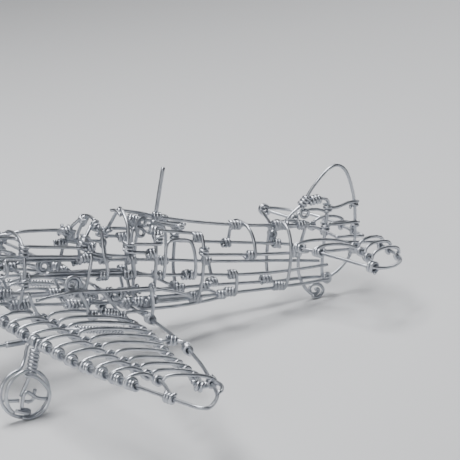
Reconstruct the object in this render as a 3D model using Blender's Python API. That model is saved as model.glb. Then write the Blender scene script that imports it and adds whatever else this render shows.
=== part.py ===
"""Wire sculpture of a single-seat, low-wing propeller aeroplane on its wheels.

Every piece is a length of aluminium wire. The model is laid out in level flight,
with X running aft from the tip of the spinner, Y to starboard and Z up from the
thrust line, and then stands nose-up on its three wheels. Sizes are in millimetres.
"""
import math

import bmesh
import bpy
import numpy as np
from mathutils import Matrix, Vector

MM = 0.001

# The wire and its wraps
WIRE = 1.5
MAST_WIRE = 1.8
GAP = 0.35
LAP = 0.15
WRAP_TURNS = 2
KNOT_TURNS = 3
CHORD_ALLOWANCE = 0.3

# The body's lines: distance aft, half width, top and bottom
BODY_LINES = (
    (18.0, 9.0, 9.5, -10.0),
    (46.0, 12.5, 13.0, -15.0),
    (72.0, 13.6, 14.4, -17.6),
    (98.0, 14.0, 15.2, -18.6),
    (122.0, 14.0, 24.6, -18.8),
    (143.0, 14.0, 21.8, -18.4),
    (162.0, 13.4, 18.7, -17.6),
    (182.0, 12.4, 17.0, -16.2),
    (206.0, 9.8, 16.4, -14.6),
    (236.0, 3.2, 15.0, -11.6),
)
BODY_SQUARENESS = 2.5

# Heights of the wires that run along the body: distance aft, height
UPPER_LINE = ((20.0, 3.4), (58.0, 7.6), (93.0, 7.2), (120.0, 6.0), (156.0, 6.4), (184.0, 5.4), (219.0, 4.5))
MIDDLE_LINE = ((20.0, -3.0), (58.0, -1.4), (130.0, -2.2), (157.0, -3.1), (175.0, -4.0), (233.0, -3.4))
LOWER_LINE = ((20.0, -8.0), (58.0, -14.4), (98.0, -15.8), (140.0, -16.2), (172.0, -14.8), (210.0, -13.2))
RAIL_LINE = ((20.0, 7.4), (58.0, 11.6), (97.0, 12.4), (139.0, 12.4))
DECK_LINE = ((134.5, 16.4), (165.0, 14.6))
SPINE_LINE = ((118.0, 25.6), (129.0, 24.0), (139.0, 22.0), (162.0, 18.7), (182.0, 17.0), (222.4, 16.0))
SPINE_POINTS = 11
STERN = (236.0, -11.6)
STERN_HALF = 2.6
STERN_BEND = (222.0, 4.4, -12.2)

# Formers: distance aft of each hoop
CLOSED_FORMERS = (22.0, 46.0, 72.0, 97.0, 135.4, 157.5, 184.0, 206.0)
OPEN_FORMER = 123.0
OPEN_FORMER_END = 50.0
HOOP_POINTS = 14

# Nose: engine, propeller and spinner
CRANK_FRONT = 9.0
ENGINE_FRONT = 27.0
ENGINE_REAR = 66.0
CYLINDERS_PER_BANK = 3
CYLINDER_HEIGHT = 8.0
BANK_ANGLE = 35.0
SPINNER_BASE = 16.0
SPINNER_RADIUS = 8.6
SPINNER_TURNS = 3.5
BLADES = 3
BLADE_LENGTH = 46.0
BLADE_WIDTH = 8.0
BLADE_PITCH = 28.0
HUB_RADIUS = 3.4
HUB_LENGTH = 4.0

# Cockpit
WINDSHIELD_BASE = 101.5
WINDSHIELD_TOP = (105.0, 22.0)
QUARTER_HOOP_BASE = 110.5
HOOD_HOOP = 118.3
HOOD_TOP = 25.6
MAST_STATION = 138.6
MAST_LENGTH = 21.5
MAST_LEAN = 2.0
HEADREST_RADIUS = 4.0
HEADREST_CENTRE = (130.5, 14.5)
SEAT_BEND = ((4.5, 3.0), (6.0, 8.0))
SEAT_BACK_HEIGHT = 5.0
DOOR_FRONT = 140.6
DOOR_REAR = 153.4
DOOR_TOP = 11.9
DOOR_CORNER = 3.5

# Wing, as it lies on one side: the root is at the body's middle
WING_HEIGHT = -24.5
WING_RISE = 0.0634
HALF_SPAN = 164.0
ROOT_LEADING = 59.0
LEADING_SWEEP = 0.044
LEADING_CURVE = 14.3
LEADING_POWER = 1.35
ROOT_TRAILING = 133.2
TRAILING_SWEEP = 0.079
TRAILING_CURVE = 34.1
MAIN_SPAR = 78.4
MAIN_SPAR_SWEEP = 0.025
MAIN_SPAR_RISE = 3.0
REAR_SPAR_SHARE = 0.85
SPAR_END = 136.0
FIRST_RIB = 12.6
RIB_PITCH = 10.93
RIBS_PER_WING = 11
FRONT_ARCH = 3.8
REAR_ARCH = 4.6
FILLET_LINE = ((74.0, -13.2), (84.0, -10.0), (98.0, -8.2), (130.0, -7.0), (147.0, -9.2), (153.5, -13.0))
FILLET_POINTS = 9
FILLET_TIES = (97.0, 135.4)
STRUT_OUT = 18.0
ROOT_STATIONS = (0.0, 20.0, 55.0, 95.0)
TIP_STATIONS = (44.0, 26.0, 14.0, 5.0)
MAIN_SPAR_STATIONS = (0.0, 50.0, 95.0)
REAR_SPAR_STATIONS = (0.0, 35.0, 65.0, 90.0, 112.0)
GUN_RIB = 3
GUN_INBOARD = 3.6
GUN_FRONT = 34.0
GUN_PAST_SPAR = 3.0
GUN_SLEEVE = (39.0, 50.0)
FEED_INBOARD = 5.6
FEED_LAP = 2.0
FEED_COIL = (90.0, 109.0)

# Belly scoop: distance aft, half width, height
SCOOP_LINE = ((127.0, 8.5, -18.4), (130.0, 8.9, -20.8), (146.0, 8.5, -22.4), (163.0, 7.0, -19.8),
              (172.5, 6.4, -16.9))
SCOOP_TIES = (127.0, 171.5)

# Tailplane, on one side: distance aft, distance out
TAILPLANE_HEIGHT = 7.9
TAILPLANE_EDGE = ((208.0, 12.6), (226.0, 49.6), (233.5, 52.6), (243.0, 48.4), (249.6, 41.6),
                  (253.6, 34.4), (256.6, 19.4), (258.4, 5.2))
TAILPLANE_HINGE = ((240.8, 5.2), (236.2, 35.5))
TAILPLANE_RIBS = (11.8, 21.6, 31.4)
TAILPLANE_ARCH = 2.0
TAILPLANE_TIE = 212.0

# Fin and rudder in the middle plane: distance aft, height
FIN_EDGE = ((208.8, 18.1), (217.2, 26.2), (222.4, 34.9), (228.3, 42.2), (235.9, 45.7), (242.3, 41.2),
            (246.2, 33.1), (248.4, 26.5), (249.2, 14.0), (248.9, 4.0), (246.6, -2.4), (242.4, -7.2),
            (237.8, -10.6))
FIN_TIE = 209.6
HINGE_POST = ((231.6, 43.0), (231.7, 20.0), (232.6, -5.6))
RUDDER_RIBS = (25.6, 15.2, 3.2)
RUDDER_CLEAR = 8.0

# Wheels
MAIN_AXLE = (55.8, -42.4)
TRACK_HALF = 53.6
MAIN_RADIUS = 10.6
WHEEL_OFFSET = 2.6
WHEEL_POINTS = 14
TAIL_AXLE = (229.5, -17.6)
TAIL_RADIUS = 3.6
FIN_POST = ((219.6, 14.4), (219.0, 9.0), (218.4, 2.0), (219.2, -7.0), (221.0, -12.0), (224.4, -15.4))
SPIRAL_START = 150
SPIRAL_TURNS = 1.6
SPIRAL_STEPS = 15
FLAT_DEPTH = 0.35
LEG_COIL = (-24.2, -31.2)
LEG_RIB = 3
LEG_OUTBOARD = 4.6
LEG_LEAN = 1.2


def smooth_value(rows, distance, column=1):
    """One column of a table at a distance aft, on a smooth curve through its rows."""
    table = np.array(rows)
    places, values = table[:, 0], table[:, column]
    slopes = np.gradient(values, places)
    index = int(np.clip(np.searchsorted(places, distance) - 1, 0, len(places) - 2))
    step = places[index + 1] - places[index]
    share = min(max((distance - places[index]) / step, 0.0), 1.0)
    rise = values[index + 1] - values[index]
    ease = share * share * (3 - 2 * share)
    bend = share * (1 - share) * ((1 - share) * slopes[index] - share * slopes[index + 1])
    return float(values[index] + rise * ease + bend * step)


def smooth_route(points, steps=3):
    """A smooth route through hand-set points, as a list of vectors."""
    nodes = [Vector(point) for point in points]
    ends = [2 * nodes[0] - nodes[1]] + nodes + [2 * nodes[-1] - nodes[-2]]
    route = []
    for before, start, end, after in zip(ends, ends[1:], ends[2:], ends[3:]):
        for step in range(steps):
            share = step / steps
            slope_in = (end - before) / 2
            slope_out = (after - start) / 2
            square, cube = share ** 2, share ** 3
            route.append((2 * cube - 3 * square + 1) * start + (cube - 2 * square + share) * slope_in
                         + (3 * square - 2 * cube) * end + (cube - square) * slope_out)
    route.append(nodes[-1])
    return route


def body_shape(distance):
    """Half width, middle height and half height of the body at a distance aft."""
    half, top, bottom = (smooth_value(BODY_LINES, distance, column) for column in (1, 2, 3))
    return half, (top + bottom) / 2, (top - bottom) / 2


def on_body(distance, height, side):
    """The point on the body's side at a distance aft and a height."""
    half, middle, tall = body_shape(distance)
    share = min(abs((height - middle) / tall), 0.999)
    width = half * (1 - share ** BODY_SQUARENESS) ** (1 / BODY_SQUARENESS)
    return Vector((distance, side * width, height))


def hoop_point(distance, angle, out):
    """A point round the body at an angle from starboard, lifted off its surface."""
    half, middle, tall = body_shape(distance)
    power = 2 / BODY_SQUARENESS
    across, up = math.cos(angle), math.sin(angle)
    width = math.copysign(abs(across) ** power, across) * (half + out)
    height = math.copysign(abs(up) ** power, up) * (tall + out)
    return Vector((distance, width, middle + height))


def mesh_to_bmesh(mesh):
    """A bmesh of a mesh with its doubled points merged, and the mesh is dropped."""
    shape = bmesh.new()
    shape.from_mesh(mesh)
    bpy.data.meshes.remove(mesh)
    bmesh.ops.remove_doubles(shape, verts=shape.verts, dist=1e-7)
    bmesh.ops.recalc_face_normals(shape, faces=shape.faces)
    return shape


def wire(points, closed=False, diameter=None, sides=4):
    """A length of wire along the points, with flat cut ends."""
    curve = bpy.data.curves.new("route", "CURVE")
    curve.dimensions = "3D"
    curve.bevel_depth = (diameter or WIRE) / 2 * MM
    curve.bevel_resolution = (sides - 4) // 2
    curve.use_fill_caps = True
    spline = curve.splines.new("POLY")
    spline.points.add(len(points) - 1)
    for knot, point in zip(spline.points, points):
        knot.co = (*(Vector(point) * MM), 1.0)
    spline.use_cyclic_u = closed
    holder = bpy.data.objects.new("route", curve)
    mesh = bpy.data.meshes.new_from_object(holder)
    bpy.data.objects.remove(holder)
    bpy.data.curves.remove(curve)
    return mesh_to_bmesh(mesh)


def along(direction, place):
    """The matrix that turns +Z to a direction and moves to a place."""
    turn = Vector(direction).to_track_quat("Z", "Y").to_matrix().to_4x4()
    return Matrix.Translation(Vector(place) * MM) @ turn


def knot(place, direction, turns=None, radius=None, sides=5):
    """Turns of wire wound tight on a wire of the same piece."""
    shape = bmesh.new()
    bmesh.ops.create_cone(shape, cap_ends=True, segments=sides, radius1=(radius or 1.5 * WIRE) * MM,
                          radius2=(radius or 1.5 * WIRE) * MM, depth=(turns or KNOT_TURNS) * WIRE * MM,
                          matrix=along(direction, place))
    return shape


def wrap(place, direction, turns=None, bore=None, wall=None, sides=5):
    """Turns of wire wound round a neighbouring wire, with a gap to it."""
    inner = (bore or WIRE) / 2 + GAP
    inner = inner / math.cos(math.pi / sides)
    outer = inner + (wall or WIRE)
    half = (turns or WRAP_TURNS) * WIRE / 2
    shape = bmesh.new()
    profile = ((inner, -half), (outer, -half), (outer, half), (inner, half))
    corners = [shape.verts.new((x * MM, 0.0, z * MM)) for x, z in profile]
    rims = [shape.edges.new((corners[index - 1], corners[index])) for index in range(4)]
    bmesh.ops.spin(shape, geom=corners + rims, cent=(0, 0, 0), axis=(0, 0, 1), angle=math.tau,
                   steps=sides, use_merge=True)
    bmesh.ops.remove_doubles(shape, verts=shape.verts, dist=1e-7)
    bmesh.ops.recalc_face_normals(shape, faces=shape.faces)
    bmesh.ops.transform(shape, matrix=along(direction, place), verts=shape.verts)
    return shape


def mirrored(shape):
    """A copy of a piece on the other side of the middle plane."""
    copy = shape.copy()
    bmesh.ops.transform(copy, matrix=Matrix.Scale(-1, 4, (0, 1, 0)), verts=copy.verts)
    bmesh.ops.reverse_faces(copy, faces=copy.faces)
    return copy


def aluminium(name):
    """Bright drawn aluminium wire."""
    material = bpy.data.materials.new(name + "_aluminium")
    material.use_nodes = True
    shader = material.node_tree.nodes["Principled BSDF"]
    shader.inputs["Base Color"].default_value = (0.62, 0.64, 0.67, 1.0)
    shader.inputs["Metallic"].default_value = 1.0
    shader.inputs["Roughness"].default_value = 0.34
    return material


def make_object(name, shapes):
    """One mesh object of several shapes laid together."""
    mesh = bpy.data.meshes.new(name)
    joined = bmesh.new()
    for shape in shapes:
        piece = bpy.data.meshes.new("piece")
        shape.to_mesh(piece)
        joined.from_mesh(piece)
        bpy.data.meshes.remove(piece)
        shape.free()
    joined.to_mesh(mesh)
    joined.free()
    item = bpy.data.objects.new(name, mesh)
    bpy.context.collection.objects.link(item)
    return item


def build_piece(name, shapes, stand):
    """One named piece: its shapes are united into a single closed body."""
    item = make_object(name, shapes[:1])
    if len(shapes) > 1:
        others = make_object(name + "_others", shapes[1:])
        union = item.modifiers.new("unite", "BOOLEAN")
        union.operation = "UNION"
        union.solver = "EXACT"
        union.use_self = True
        union.object = others
        bpy.context.view_layer.update()
        seen = item.evaluated_get(bpy.context.evaluated_depsgraph_get())
        united = bpy.data.meshes.new_from_object(seen)
        item.modifiers.clear()
        bpy.data.objects.remove(others)
        item.data = united
    item.data.materials.clear()
    item.data.materials.append(aluminium(name))
    item.parent = stand
    return item


def sides():
    """Name and sign of each side: port is at -Y."""
    return (("port", -1), ("starboard", 1))


def line_route(rows, side, held_at=()):
    """A wire's route along the body, through each place where something holds it."""
    first, last = rows[0][0], rows[-1][0]
    holds = CLOSED_FORMERS + (OPEN_FORMER,) + held_at
    stops = [place for place in holds if first + 1.0 < place < last - 1.0]
    return [on_body(place, smooth_value(rows, place), side) for place in sorted([first, last] + stops)]


def point_between(route, distance):
    """The point at a distance aft on a route of straight lengths, and the way it runs."""
    for start, end in zip(route, route[1:]):
        if start.x <= distance <= end.x:
            share = (distance - start.x) / (end.x - start.x)
            return start.lerp(end, share), end - start
    return route[-1], route[-1] - route[-2]


def tie(rows, distance, side, wall=None):
    """Turns wound round a long wire between two of the places where it is held."""
    place, way = point_between(line_route(rows, side), distance)
    return wrap(place, way, wall=wall)


def hoop_tie(distance, height, side):
    """Turns wound round a former at a height on one side."""
    route = former_route(distance)
    for start, end in zip(route, route[1:] + route[:1]):
        low, high = sorted((start.z, end.z))
        if low <= height < high and side * (start.y + end.y) > 0:
            place = start.lerp(end, (height - start.z) / (end.z - start.z))
            return place, wrap(place, end - start)
    return None


def stand_angle():
    """Nose-up angle at which both main wheels and the tail wheel touch the ground."""
    aft = TAIL_AXLE[0] - MAIN_AXLE[0]
    up = TAIL_AXLE[1] - MAIN_AXLE[1]
    shrink = (MAIN_RADIUS - TAIL_RADIUS) / math.hypot(aft, up)
    return math.atan2(up, aft) + math.asin(shrink)


def ground_up():
    """The direction away from the ground, in the level layout."""
    angle = stand_angle()
    return Vector((-math.sin(angle), 0.0, math.cos(angle)))


def flatten_foot(shape, axle, radius, width):
    """Press a small flat where a wheel meets the ground."""
    up = ground_up()
    low = Vector((axle[0], width, axle[1])) - up * (radius + WIRE / 2 - FLAT_DEPTH)
    geometry = list(shape.verts) + list(shape.edges) + list(shape.faces)
    cut = bmesh.ops.bisect_plane(shape, geom=geometry, plane_co=low * MM, plane_no=up, clear_inner=True)
    rim = [item for item in cut["geom_cut"] if isinstance(item, bmesh.types.BMEdge)]
    bmesh.ops.holes_fill(shape, edges=rim, sides=0)
    return shape


def rail_place(distance, side, rows=RAIL_LINE):
    """The point of a long wire at a distance aft."""
    return on_body(distance, smooth_value(rows, distance), side)


def rail_wrap(distance, side, rows=RAIL_LINE, wall=None):
    """Turns wound round a long wire at a distance aft."""
    ahead = rail_place(distance + 1.0, side, rows) - rail_place(distance - 1.0, side, rows)
    return wrap(rail_place(distance, side, rows), ahead, wall=wall)


def add_longerons(stand):
    """The wires that run along the body."""
    for name, side in sides():
        upper = line_route(UPPER_LINE, side, (QUARTER_HOOP_BASE,))
        build_piece("upper_longeron_" + name, [wire(upper)], stand)
        middle = line_route(MIDDLE_LINE, side, (ENGINE_FRONT, ENGINE_REAR, DOOR_FRONT, DOOR_REAR))
        build_piece("middle_longeron_" + name, [wire(middle)], stand)
        rail = line_route(RAIL_LINE, side, (WINDSHIELD_BASE, HOOD_HOOP))
        build_piece("cockpit_rail_" + name, [wire(rail)], stand)
        build_piece("deck_rail_" + name, [wire(line_route(DECK_LINE, side))], stand)
    port = line_route(LOWER_LINE, -1)
    starboard = line_route(LOWER_LINE, 1)
    bend = [Vector((STERN_BEND[0], side * STERN_BEND[1], STERN_BEND[2])) for side in (-1, 1)]
    tip = [Vector((STERN[0], side * STERN_HALF, STERN[1])) for side in (-1, 1)]
    route = port + [bend[0], tip[0], tip[1], bend[1]] + starboard[::-1]
    build_piece("lower_longeron", [wire(route)], stand)
    places = np.linspace(SPINE_LINE[0][0], SPINE_LINE[-1][0], SPINE_POINTS)
    spine = [(place, 0.0, smooth_value(SPINE_LINE, place)) for place in places]
    build_piece("spine_wire", [wire(spine)], stand)


def former_route(distance):
    """The route of a former's hoop, just outside the long wires."""
    out = WIRE + GAP + CHORD_ALLOWANCE
    closed = distance != OPEN_FORMER
    first = math.pi / 2 if closed else math.radians(OPEN_FORMER_END)
    sweep = math.tau if closed else -2 * math.radians(OPEN_FORMER_END + 90)
    angles = [first + sweep * index / HOOP_POINTS for index in range(HOOP_POINTS + (not closed))]
    return [hoop_point(distance, angle, out) for angle in angles]


def add_formers(stand):
    """The hoops round the long wires, wrapped on the upper and the lower pair in turn."""
    for number, distance in enumerate(sorted(CLOSED_FORMERS + (OPEN_FORMER,)), start=1):
        hoop = wire(former_route(distance), closed=distance != OPEN_FORMER)
        held = UPPER_LINE if number % 2 else LOWER_LINE
        wraps = [rail_wrap(distance, side, held) for _, side in sides()]
        build_piece("former_%d" % number, [hoop] + wraps, stand)


def add_engine(stand):
    """A crank wire with two banks of bent cylinders, held on the middle longerons."""
    shapes = [wire([(CRANK_FRONT, 0, 0), (ENGINE_REAR, 0, 0)])]
    for place in (ENGINE_FRONT, ENGINE_REAR):
        reach = on_body(place, smooth_value(MIDDLE_LINE, place), 1)
        inner = reach.y - WIRE - GAP
        shapes.append(wire([(place, -inner, reach.z), (place, 0, 0), (place, inner, reach.z)]))
        for _, side in sides():
            shapes.append(wrap((place, side * reach.y, reach.z), (1, 0, 0)))
    pitch = (ENGINE_REAR - ENGINE_FRONT) / (CYLINDERS_PER_BANK + 1)
    for _, side in sides():
        stagger = Vector((side * pitch / 8, 0, 0))
        lean = Vector((0, side * math.sin(math.radians(BANK_ANGLE)), math.cos(math.radians(BANK_ANGLE))))
        for index in range(CYLINDERS_PER_BANK):
            foot = Vector((ENGINE_FRONT + pitch * (index + 1), 0, 0)) + stagger
            half = Vector((pitch / 4, 0, 0))
            head = lean * CYLINDER_HEIGHT
            shapes.append(wire([foot - half, foot - half + head, foot + half + head, foot + half], sides=4))
    build_piece("engine", shapes, stand)


def add_propeller(stand):
    """Wire-loop blades on a wound hub, under a spinner wound as a cone."""
    hub_bore = wrap((SPINNER_BASE, 0, 0), (1, 0, 0), turns=HUB_LENGTH / WIRE, wall=HUB_RADIUS - WIRE)
    shapes = [hub_bore]
    for index in range(BLADES):
        turn = Matrix.Rotation(math.pi + math.tau * index / BLADES, 3, "X")
        pitch = Matrix.Rotation(math.radians(BLADE_PITCH), 3, "Z")
        shares = ((2.2, 0.0), (9.0, 0.22), (17.0, 0.42), (30.0, 0.5), (41.0, 0.42),
                  (BLADE_LENGTH - 1.2, 0.22))
        front = [Vector((0, share * BLADE_WIDTH, reach)) for reach, share in shares]
        back = [Vector((0, -share * BLADE_WIDTH, reach)) for reach, share in shares[1:]]
        tip = [Vector((0, 0, BLADE_LENGTH))]
        loop = [turn @ (pitch @ point) + Vector((SPINNER_BASE, 0, 0)) for point in front + tip + back[::-1]]
        shapes.append(wire(loop, closed=True, sides=4))
    steps = int(SPINNER_TURNS * 7)
    cone = []
    for radius, degrees in ((HUB_RADIUS - 0.8, -75), (0.72 * SPINNER_RADIUS, -50)):
        lean = math.radians(degrees)
        cone.append((SPINNER_BASE - 0.4, radius * math.cos(lean), radius * math.sin(lean)))
    for step in range(steps + 1):
        share = step / steps
        radius = SPINNER_RADIUS * (1 - share ** 1.6) + 0.2
        angle = math.tau * SPINNER_TURNS * share
        place = SPINNER_BASE - 1.0 - (SPINNER_BASE - 1.0 - WIRE / 2) * share
        cone.append((place, radius * math.cos(angle), radius * math.sin(angle)))
    shapes.append(wire(cone))
    build_piece("propeller", shapes, stand)


def arch(base, top, foot_side, steps=4):
    """Half an arch from a foot on one side up to the middle plane."""
    route = []
    for step in range(steps + 1):
        angle = math.pi / 2 * step / steps
        aft = base.x + (top[0] - base.x) * math.sin(angle)
        width = abs(base.y) * math.cos(angle) ** 0.75
        height = base.z + (top[1] - base.z) * math.sin(angle) ** 0.9
        route.append(Vector((aft, foot_side * width, height)))
    return route


def full_arch(distance, top, rows=RAIL_LINE, out=None):
    """An arch over the middle, standing outside the same long wire on each side."""
    lift = WIRE + GAP if out is None else out
    halves = []
    for side in (-1, 1):
        foot = rail_place(distance, side, rows)
        foot.y += side * lift
        halves.append(arch(foot, top, side))
    return halves[0] + halves[1][::-1][1:]


def add_cockpit(stand):
    """Windshield, hood hoop, mast, seat and doors."""
    shield = [wire(full_arch(WINDSHIELD_BASE, WINDSHIELD_TOP))]
    quarter_top = (WINDSHIELD_TOP[0] + 2.6, WINDSHIELD_TOP[1] - 0.4)
    shield.append(wire(full_arch(QUARTER_HOOP_BASE, quarter_top, UPPER_LINE, 2 * (WIRE + GAP))))
    bridge_front = (WINDSHIELD_TOP[0] - 1.0, 0, WINDSHIELD_TOP[1])
    shield.append(wire([bridge_front, (quarter_top[0] + 0.5, 0, quarter_top[1])]))
    for _, side in sides():
        shield.append(rail_wrap(WINDSHIELD_BASE, side))
        shield.append(rail_wrap(QUARTER_HOOP_BASE, side, UPPER_LINE, WIRE * 1.8))
    build_piece("windshield_frame", shield, stand)
    hoop = [wire(full_arch(HOOD_HOOP, (HOOD_HOOP, HOOD_TOP + WIRE + GAP)))]
    hoop += [rail_wrap(HOOD_HOOP, side) for _, side in sides()]
    build_piece("hood_hoop", hoop, stand)
    foot = Vector((MAST_STATION, 0, smooth_value(SPINE_LINE, MAST_STATION)))
    rise = Vector((MAST_LEAN, 0, MAST_LENGTH))
    mast = [wrap(foot, (1, 0, -0.17)), wire([foot + rise * 0.07, foot + rise], diameter=MAST_WIRE)]
    build_piece("aerial_mast", mast, stand)
    add_seat(stand)
    add_doors(stand)


def add_seat(stand):
    """A stem from the former behind the seat, ending in a headrest coil."""
    former = sorted(CLOSED_FORMERS)[4]
    low = hoop_point(former, -math.pi / 2, WIRE + GAP + CHORD_ALLOWANCE)
    coil = []
    for step in range(13):
        angle = -math.pi / 2 + math.tau * 1.5 * step / 12
        radius = HEADREST_RADIUS * (1 - 0.62 * step / 12)
        aft = HEADREST_CENTRE[0] + radius * math.cos(angle)
        coil.append((aft, 0, HEADREST_CENTRE[1] + radius * math.sin(angle)))
    stem = [(low.x - 0.8, 0, low.z + WIRE + GAP)]
    stem += [(low.x - ahead, 0, low.z + above) for ahead, above in SEAT_BEND]
    stem.append((HEADREST_CENTRE[0] - 1.5, 0, SEAT_BACK_HEIGHT))
    shapes = [wire(stem + coil), wrap(low, (0, 1, 0), wall=WIRE * 1.3)]
    build_piece("seat", shapes, stand)


def add_doors(stand):
    """An arch in each side, wrapped on the middle longeron."""
    for name, side in sides():
        out = WIRE + GAP
        bottom = smooth_value(MIDDLE_LINE, DOOR_FRONT)
        heights = [bottom, 3.0, DOOR_TOP - DOOR_CORNER, DOOR_TOP]
        front = [on_body(DOOR_FRONT, height, side) for height in heights[:3]]
        front.append(on_body(DOOR_FRONT + DOOR_CORNER * 0.4, DOOR_TOP - DOOR_CORNER * 0.35, side))
        front.append(on_body(DOOR_FRONT + DOOR_CORNER, DOOR_TOP, side))
        rear = [on_body(DOOR_FRONT + DOOR_REAR - point.x, point.z, side) for point in front]
        lift = Vector((0, side * out, 0))
        route = [point + lift for point in front + rear[::-1]]
        shapes = [wire(route)]
        for distance in (DOOR_FRONT, DOOR_REAR):
            shapes.append(rail_wrap(distance, side, MIDDLE_LINE))
        build_piece("door_arch_" + name, shapes, stand)


def wing_level(out):
    """Height of the wing's edge wires at a distance from the middle plane."""
    return WING_HEIGHT + WING_RISE * out


def leading_edge(out):
    """Distance aft of the leading edge."""
    late = max(2 * out / HALF_SPAN - 1, 0.0)
    return ROOT_LEADING + LEADING_SWEEP * out + LEADING_CURVE * late ** LEADING_POWER


def trailing_edge(out):
    """Distance aft of the trailing edge."""
    return ROOT_TRAILING - TRAILING_SWEEP * out - TRAILING_CURVE * (out / HALF_SPAN) ** 2


def main_spar(out):
    """The main spar's point on the starboard side."""
    rise = MAIN_SPAR_RISE * (1 - 0.7 * out / SPAR_END)
    return Vector((MAIN_SPAR + MAIN_SPAR_SWEEP * out, out, wing_level(out) + rise))


def rear_spar(out):
    """The rear spar's point on the starboard side."""
    front, back = leading_edge(out), trailing_edge(out)
    return Vector((front + (back - front) * REAR_SPAR_SHARE, out, wing_level(out)))


def arch_between(start, end, bulge, steps):
    """A bowed wire between two points, highest halfway."""
    route = []
    for step in range(steps + 1):
        share = (1 - math.cos(math.pi * step / steps)) / 2
        lift = bulge * math.sqrt(max(0.0, 1 - (2 * share - 1) ** 2))
        route.append(start.lerp(end, share) + Vector((0, 0, lift)))
    return route


def rib_stations():
    """Distances out of the ribs."""
    return [FIRST_RIB + RIB_PITCH * index for index in range(RIBS_PER_WING)]


def wing_half():
    """The pieces of one wing, on the starboard side."""
    edge = list(ROOT_STATIONS) + [HALF_SPAN - inboard for inboard in TIP_STATIONS]
    front = [Vector((leading_edge(out), out, wing_level(out))) for out in edge]
    back = [Vector((trailing_edge(out), out, wing_level(out))) for out in edge]
    tip_front = Vector((front[-1].x + 3.2, HALF_SPAN - 0.4, wing_level(HALF_SPAN)))
    tip_back = Vector((back[-1].x - 3.0, HALF_SPAN - 0.8, wing_level(HALF_SPAN)))
    shapes = [wire(front + [tip_front, tip_back] + back[::-1])]
    shapes.append(wire([main_spar(out) for out in MAIN_SPAR_STATIONS + (SPAR_END,)]))
    shapes.append(wire([rear_spar(out) for out in REAR_SPAR_STATIONS + (SPAR_END,)]))
    for out in rib_stations():
        nose = Vector((leading_edge(out), out, wing_level(out)))
        front_rib = arch_between(nose, main_spar(out), FRONT_ARCH, 3)
        rear_rib = arch_between(main_spar(out), rear_spar(out), REAR_ARCH, 3)
        shapes.append(wire(front_rib + rear_rib[1:], sides=4))
        shapes.append(knot(nose, (LEADING_SWEEP, 1, WING_RISE), sides=4))
    return shapes


def add_wing(stand):
    """The wing frame, with the guns and their feeds lying on its spars."""
    half = wing_half()
    other = [mirrored(shape) for shape in half]
    build_piece("wing_frame", half + other, stand)
    rest = WIRE + GAP
    gun_out = rib_stations()[GUN_RIB] - GUN_INBOARD
    feed_out = rib_stations()[GUN_RIB] - FEED_INBOARD
    for name, side in sides():
        nose = Vector((leading_edge(gun_out), side * gun_out, wing_level(gun_out) + rest))
        spar = main_spar(gun_out)
        back = Vector((spar.x + GUN_PAST_SPAR, side * gun_out, spar.z + rest + 0.2))
        slope = (back - nose).normalized()
        muzzle = nose - slope * (nose.x - GUN_FRONT)
        centre = nose - slope * (nose.x - sum(GUN_SLEEVE) / 2)
        sleeve = knot(centre, slope, turns=(GUN_SLEEVE[1] - GUN_SLEEVE[0]) / WIRE, radius=WIRE)
        build_piece("gun_" + name, [wire([muzzle, back]), sleeve], stand)
        spar = main_spar(feed_out)
        rear = rear_spar(feed_out)
        start = Vector((spar.x - FEED_LAP, side * feed_out, spar.z + rest + 0.1))
        end = Vector((rear.x + FEED_LAP, side * feed_out, rear.z + rest + 0.1))
        slope = (end - start).normalized()
        centre = start.lerp(end, (sum(FEED_COIL) / 2 - start.x) / (end.x - start.x))
        coil = knot(centre, slope, turns=(FEED_COIL[1] - FEED_COIL[0]) / WIRE, radius=1.25 * WIRE)
        build_piece("ammunition_feed_" + name, [wire([start, end]), coil], stand)


def add_fillets(stand):
    """The fillet wires along the wing root, tied down to the wing."""
    out = 2 * (WIRE + GAP) + CHORD_ALLOWANCE
    for name, side in sides():
        places = np.linspace(FILLET_LINE[0][0], FILLET_LINE[-1][0], FILLET_POINTS)
        route = []
        for place in places:
            point = on_body(place, smooth_value(FILLET_LINE, place), side)
            point.y += side * out
            route.append(point)
        shapes = [wire(route)]
        for distance in FILLET_TIES:
            top = point_between(route, distance)[0]
            held, ring = hoop_tie(distance, top.z, side)
            shapes.append(ring)
            shapes.append(wire([top + Vector((0, 0, LAP)), held + Vector((0, side * (WIRE + GAP), LAP))]))
        for spar in (main_spar, rear_spar):
            foot = spar(STRUT_OUT)
            foot.y *= side
            top = point_between(route, foot.x)[0]
            rise = (top - foot).normalized()
            shapes.append(wire([foot + rise * (WIRE + GAP), top]))
            shapes.append(wrap(foot, (0, 1, side * WING_RISE)))
        build_piece("wing_fillet_" + name, shapes, stand)


def add_scoop(stand):
    """The scoop under the body, one bent wire open at its mouth."""
    port = smooth_route([(place, -width, height) for place, width, height in SCOOP_LINE], 2)
    starboard = smooth_route([(place, width, height) for place, width, height in SCOOP_LINE], 2)
    shapes = [wire(port + starboard[::-1])]
    for _, side in sides():
        for distance in SCOOP_TIES:
            shapes.append(tie(LOWER_LINE, distance, side))
    build_piece("belly_scoop", shapes, stand)


def edge_crossing(edge, out):
    """Distance aft at which an edge of the tailplane lies at a distance out."""
    for (aft_a, out_a), (aft_b, out_b) in zip(edge, edge[1:]):
        if min(out_a, out_b) <= out <= max(out_a, out_b) and out_a != out_b:
            return aft_a + (aft_b - aft_a) * (out - out_a) / (out_b - out_a)
    return edge[-1][0]


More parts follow.
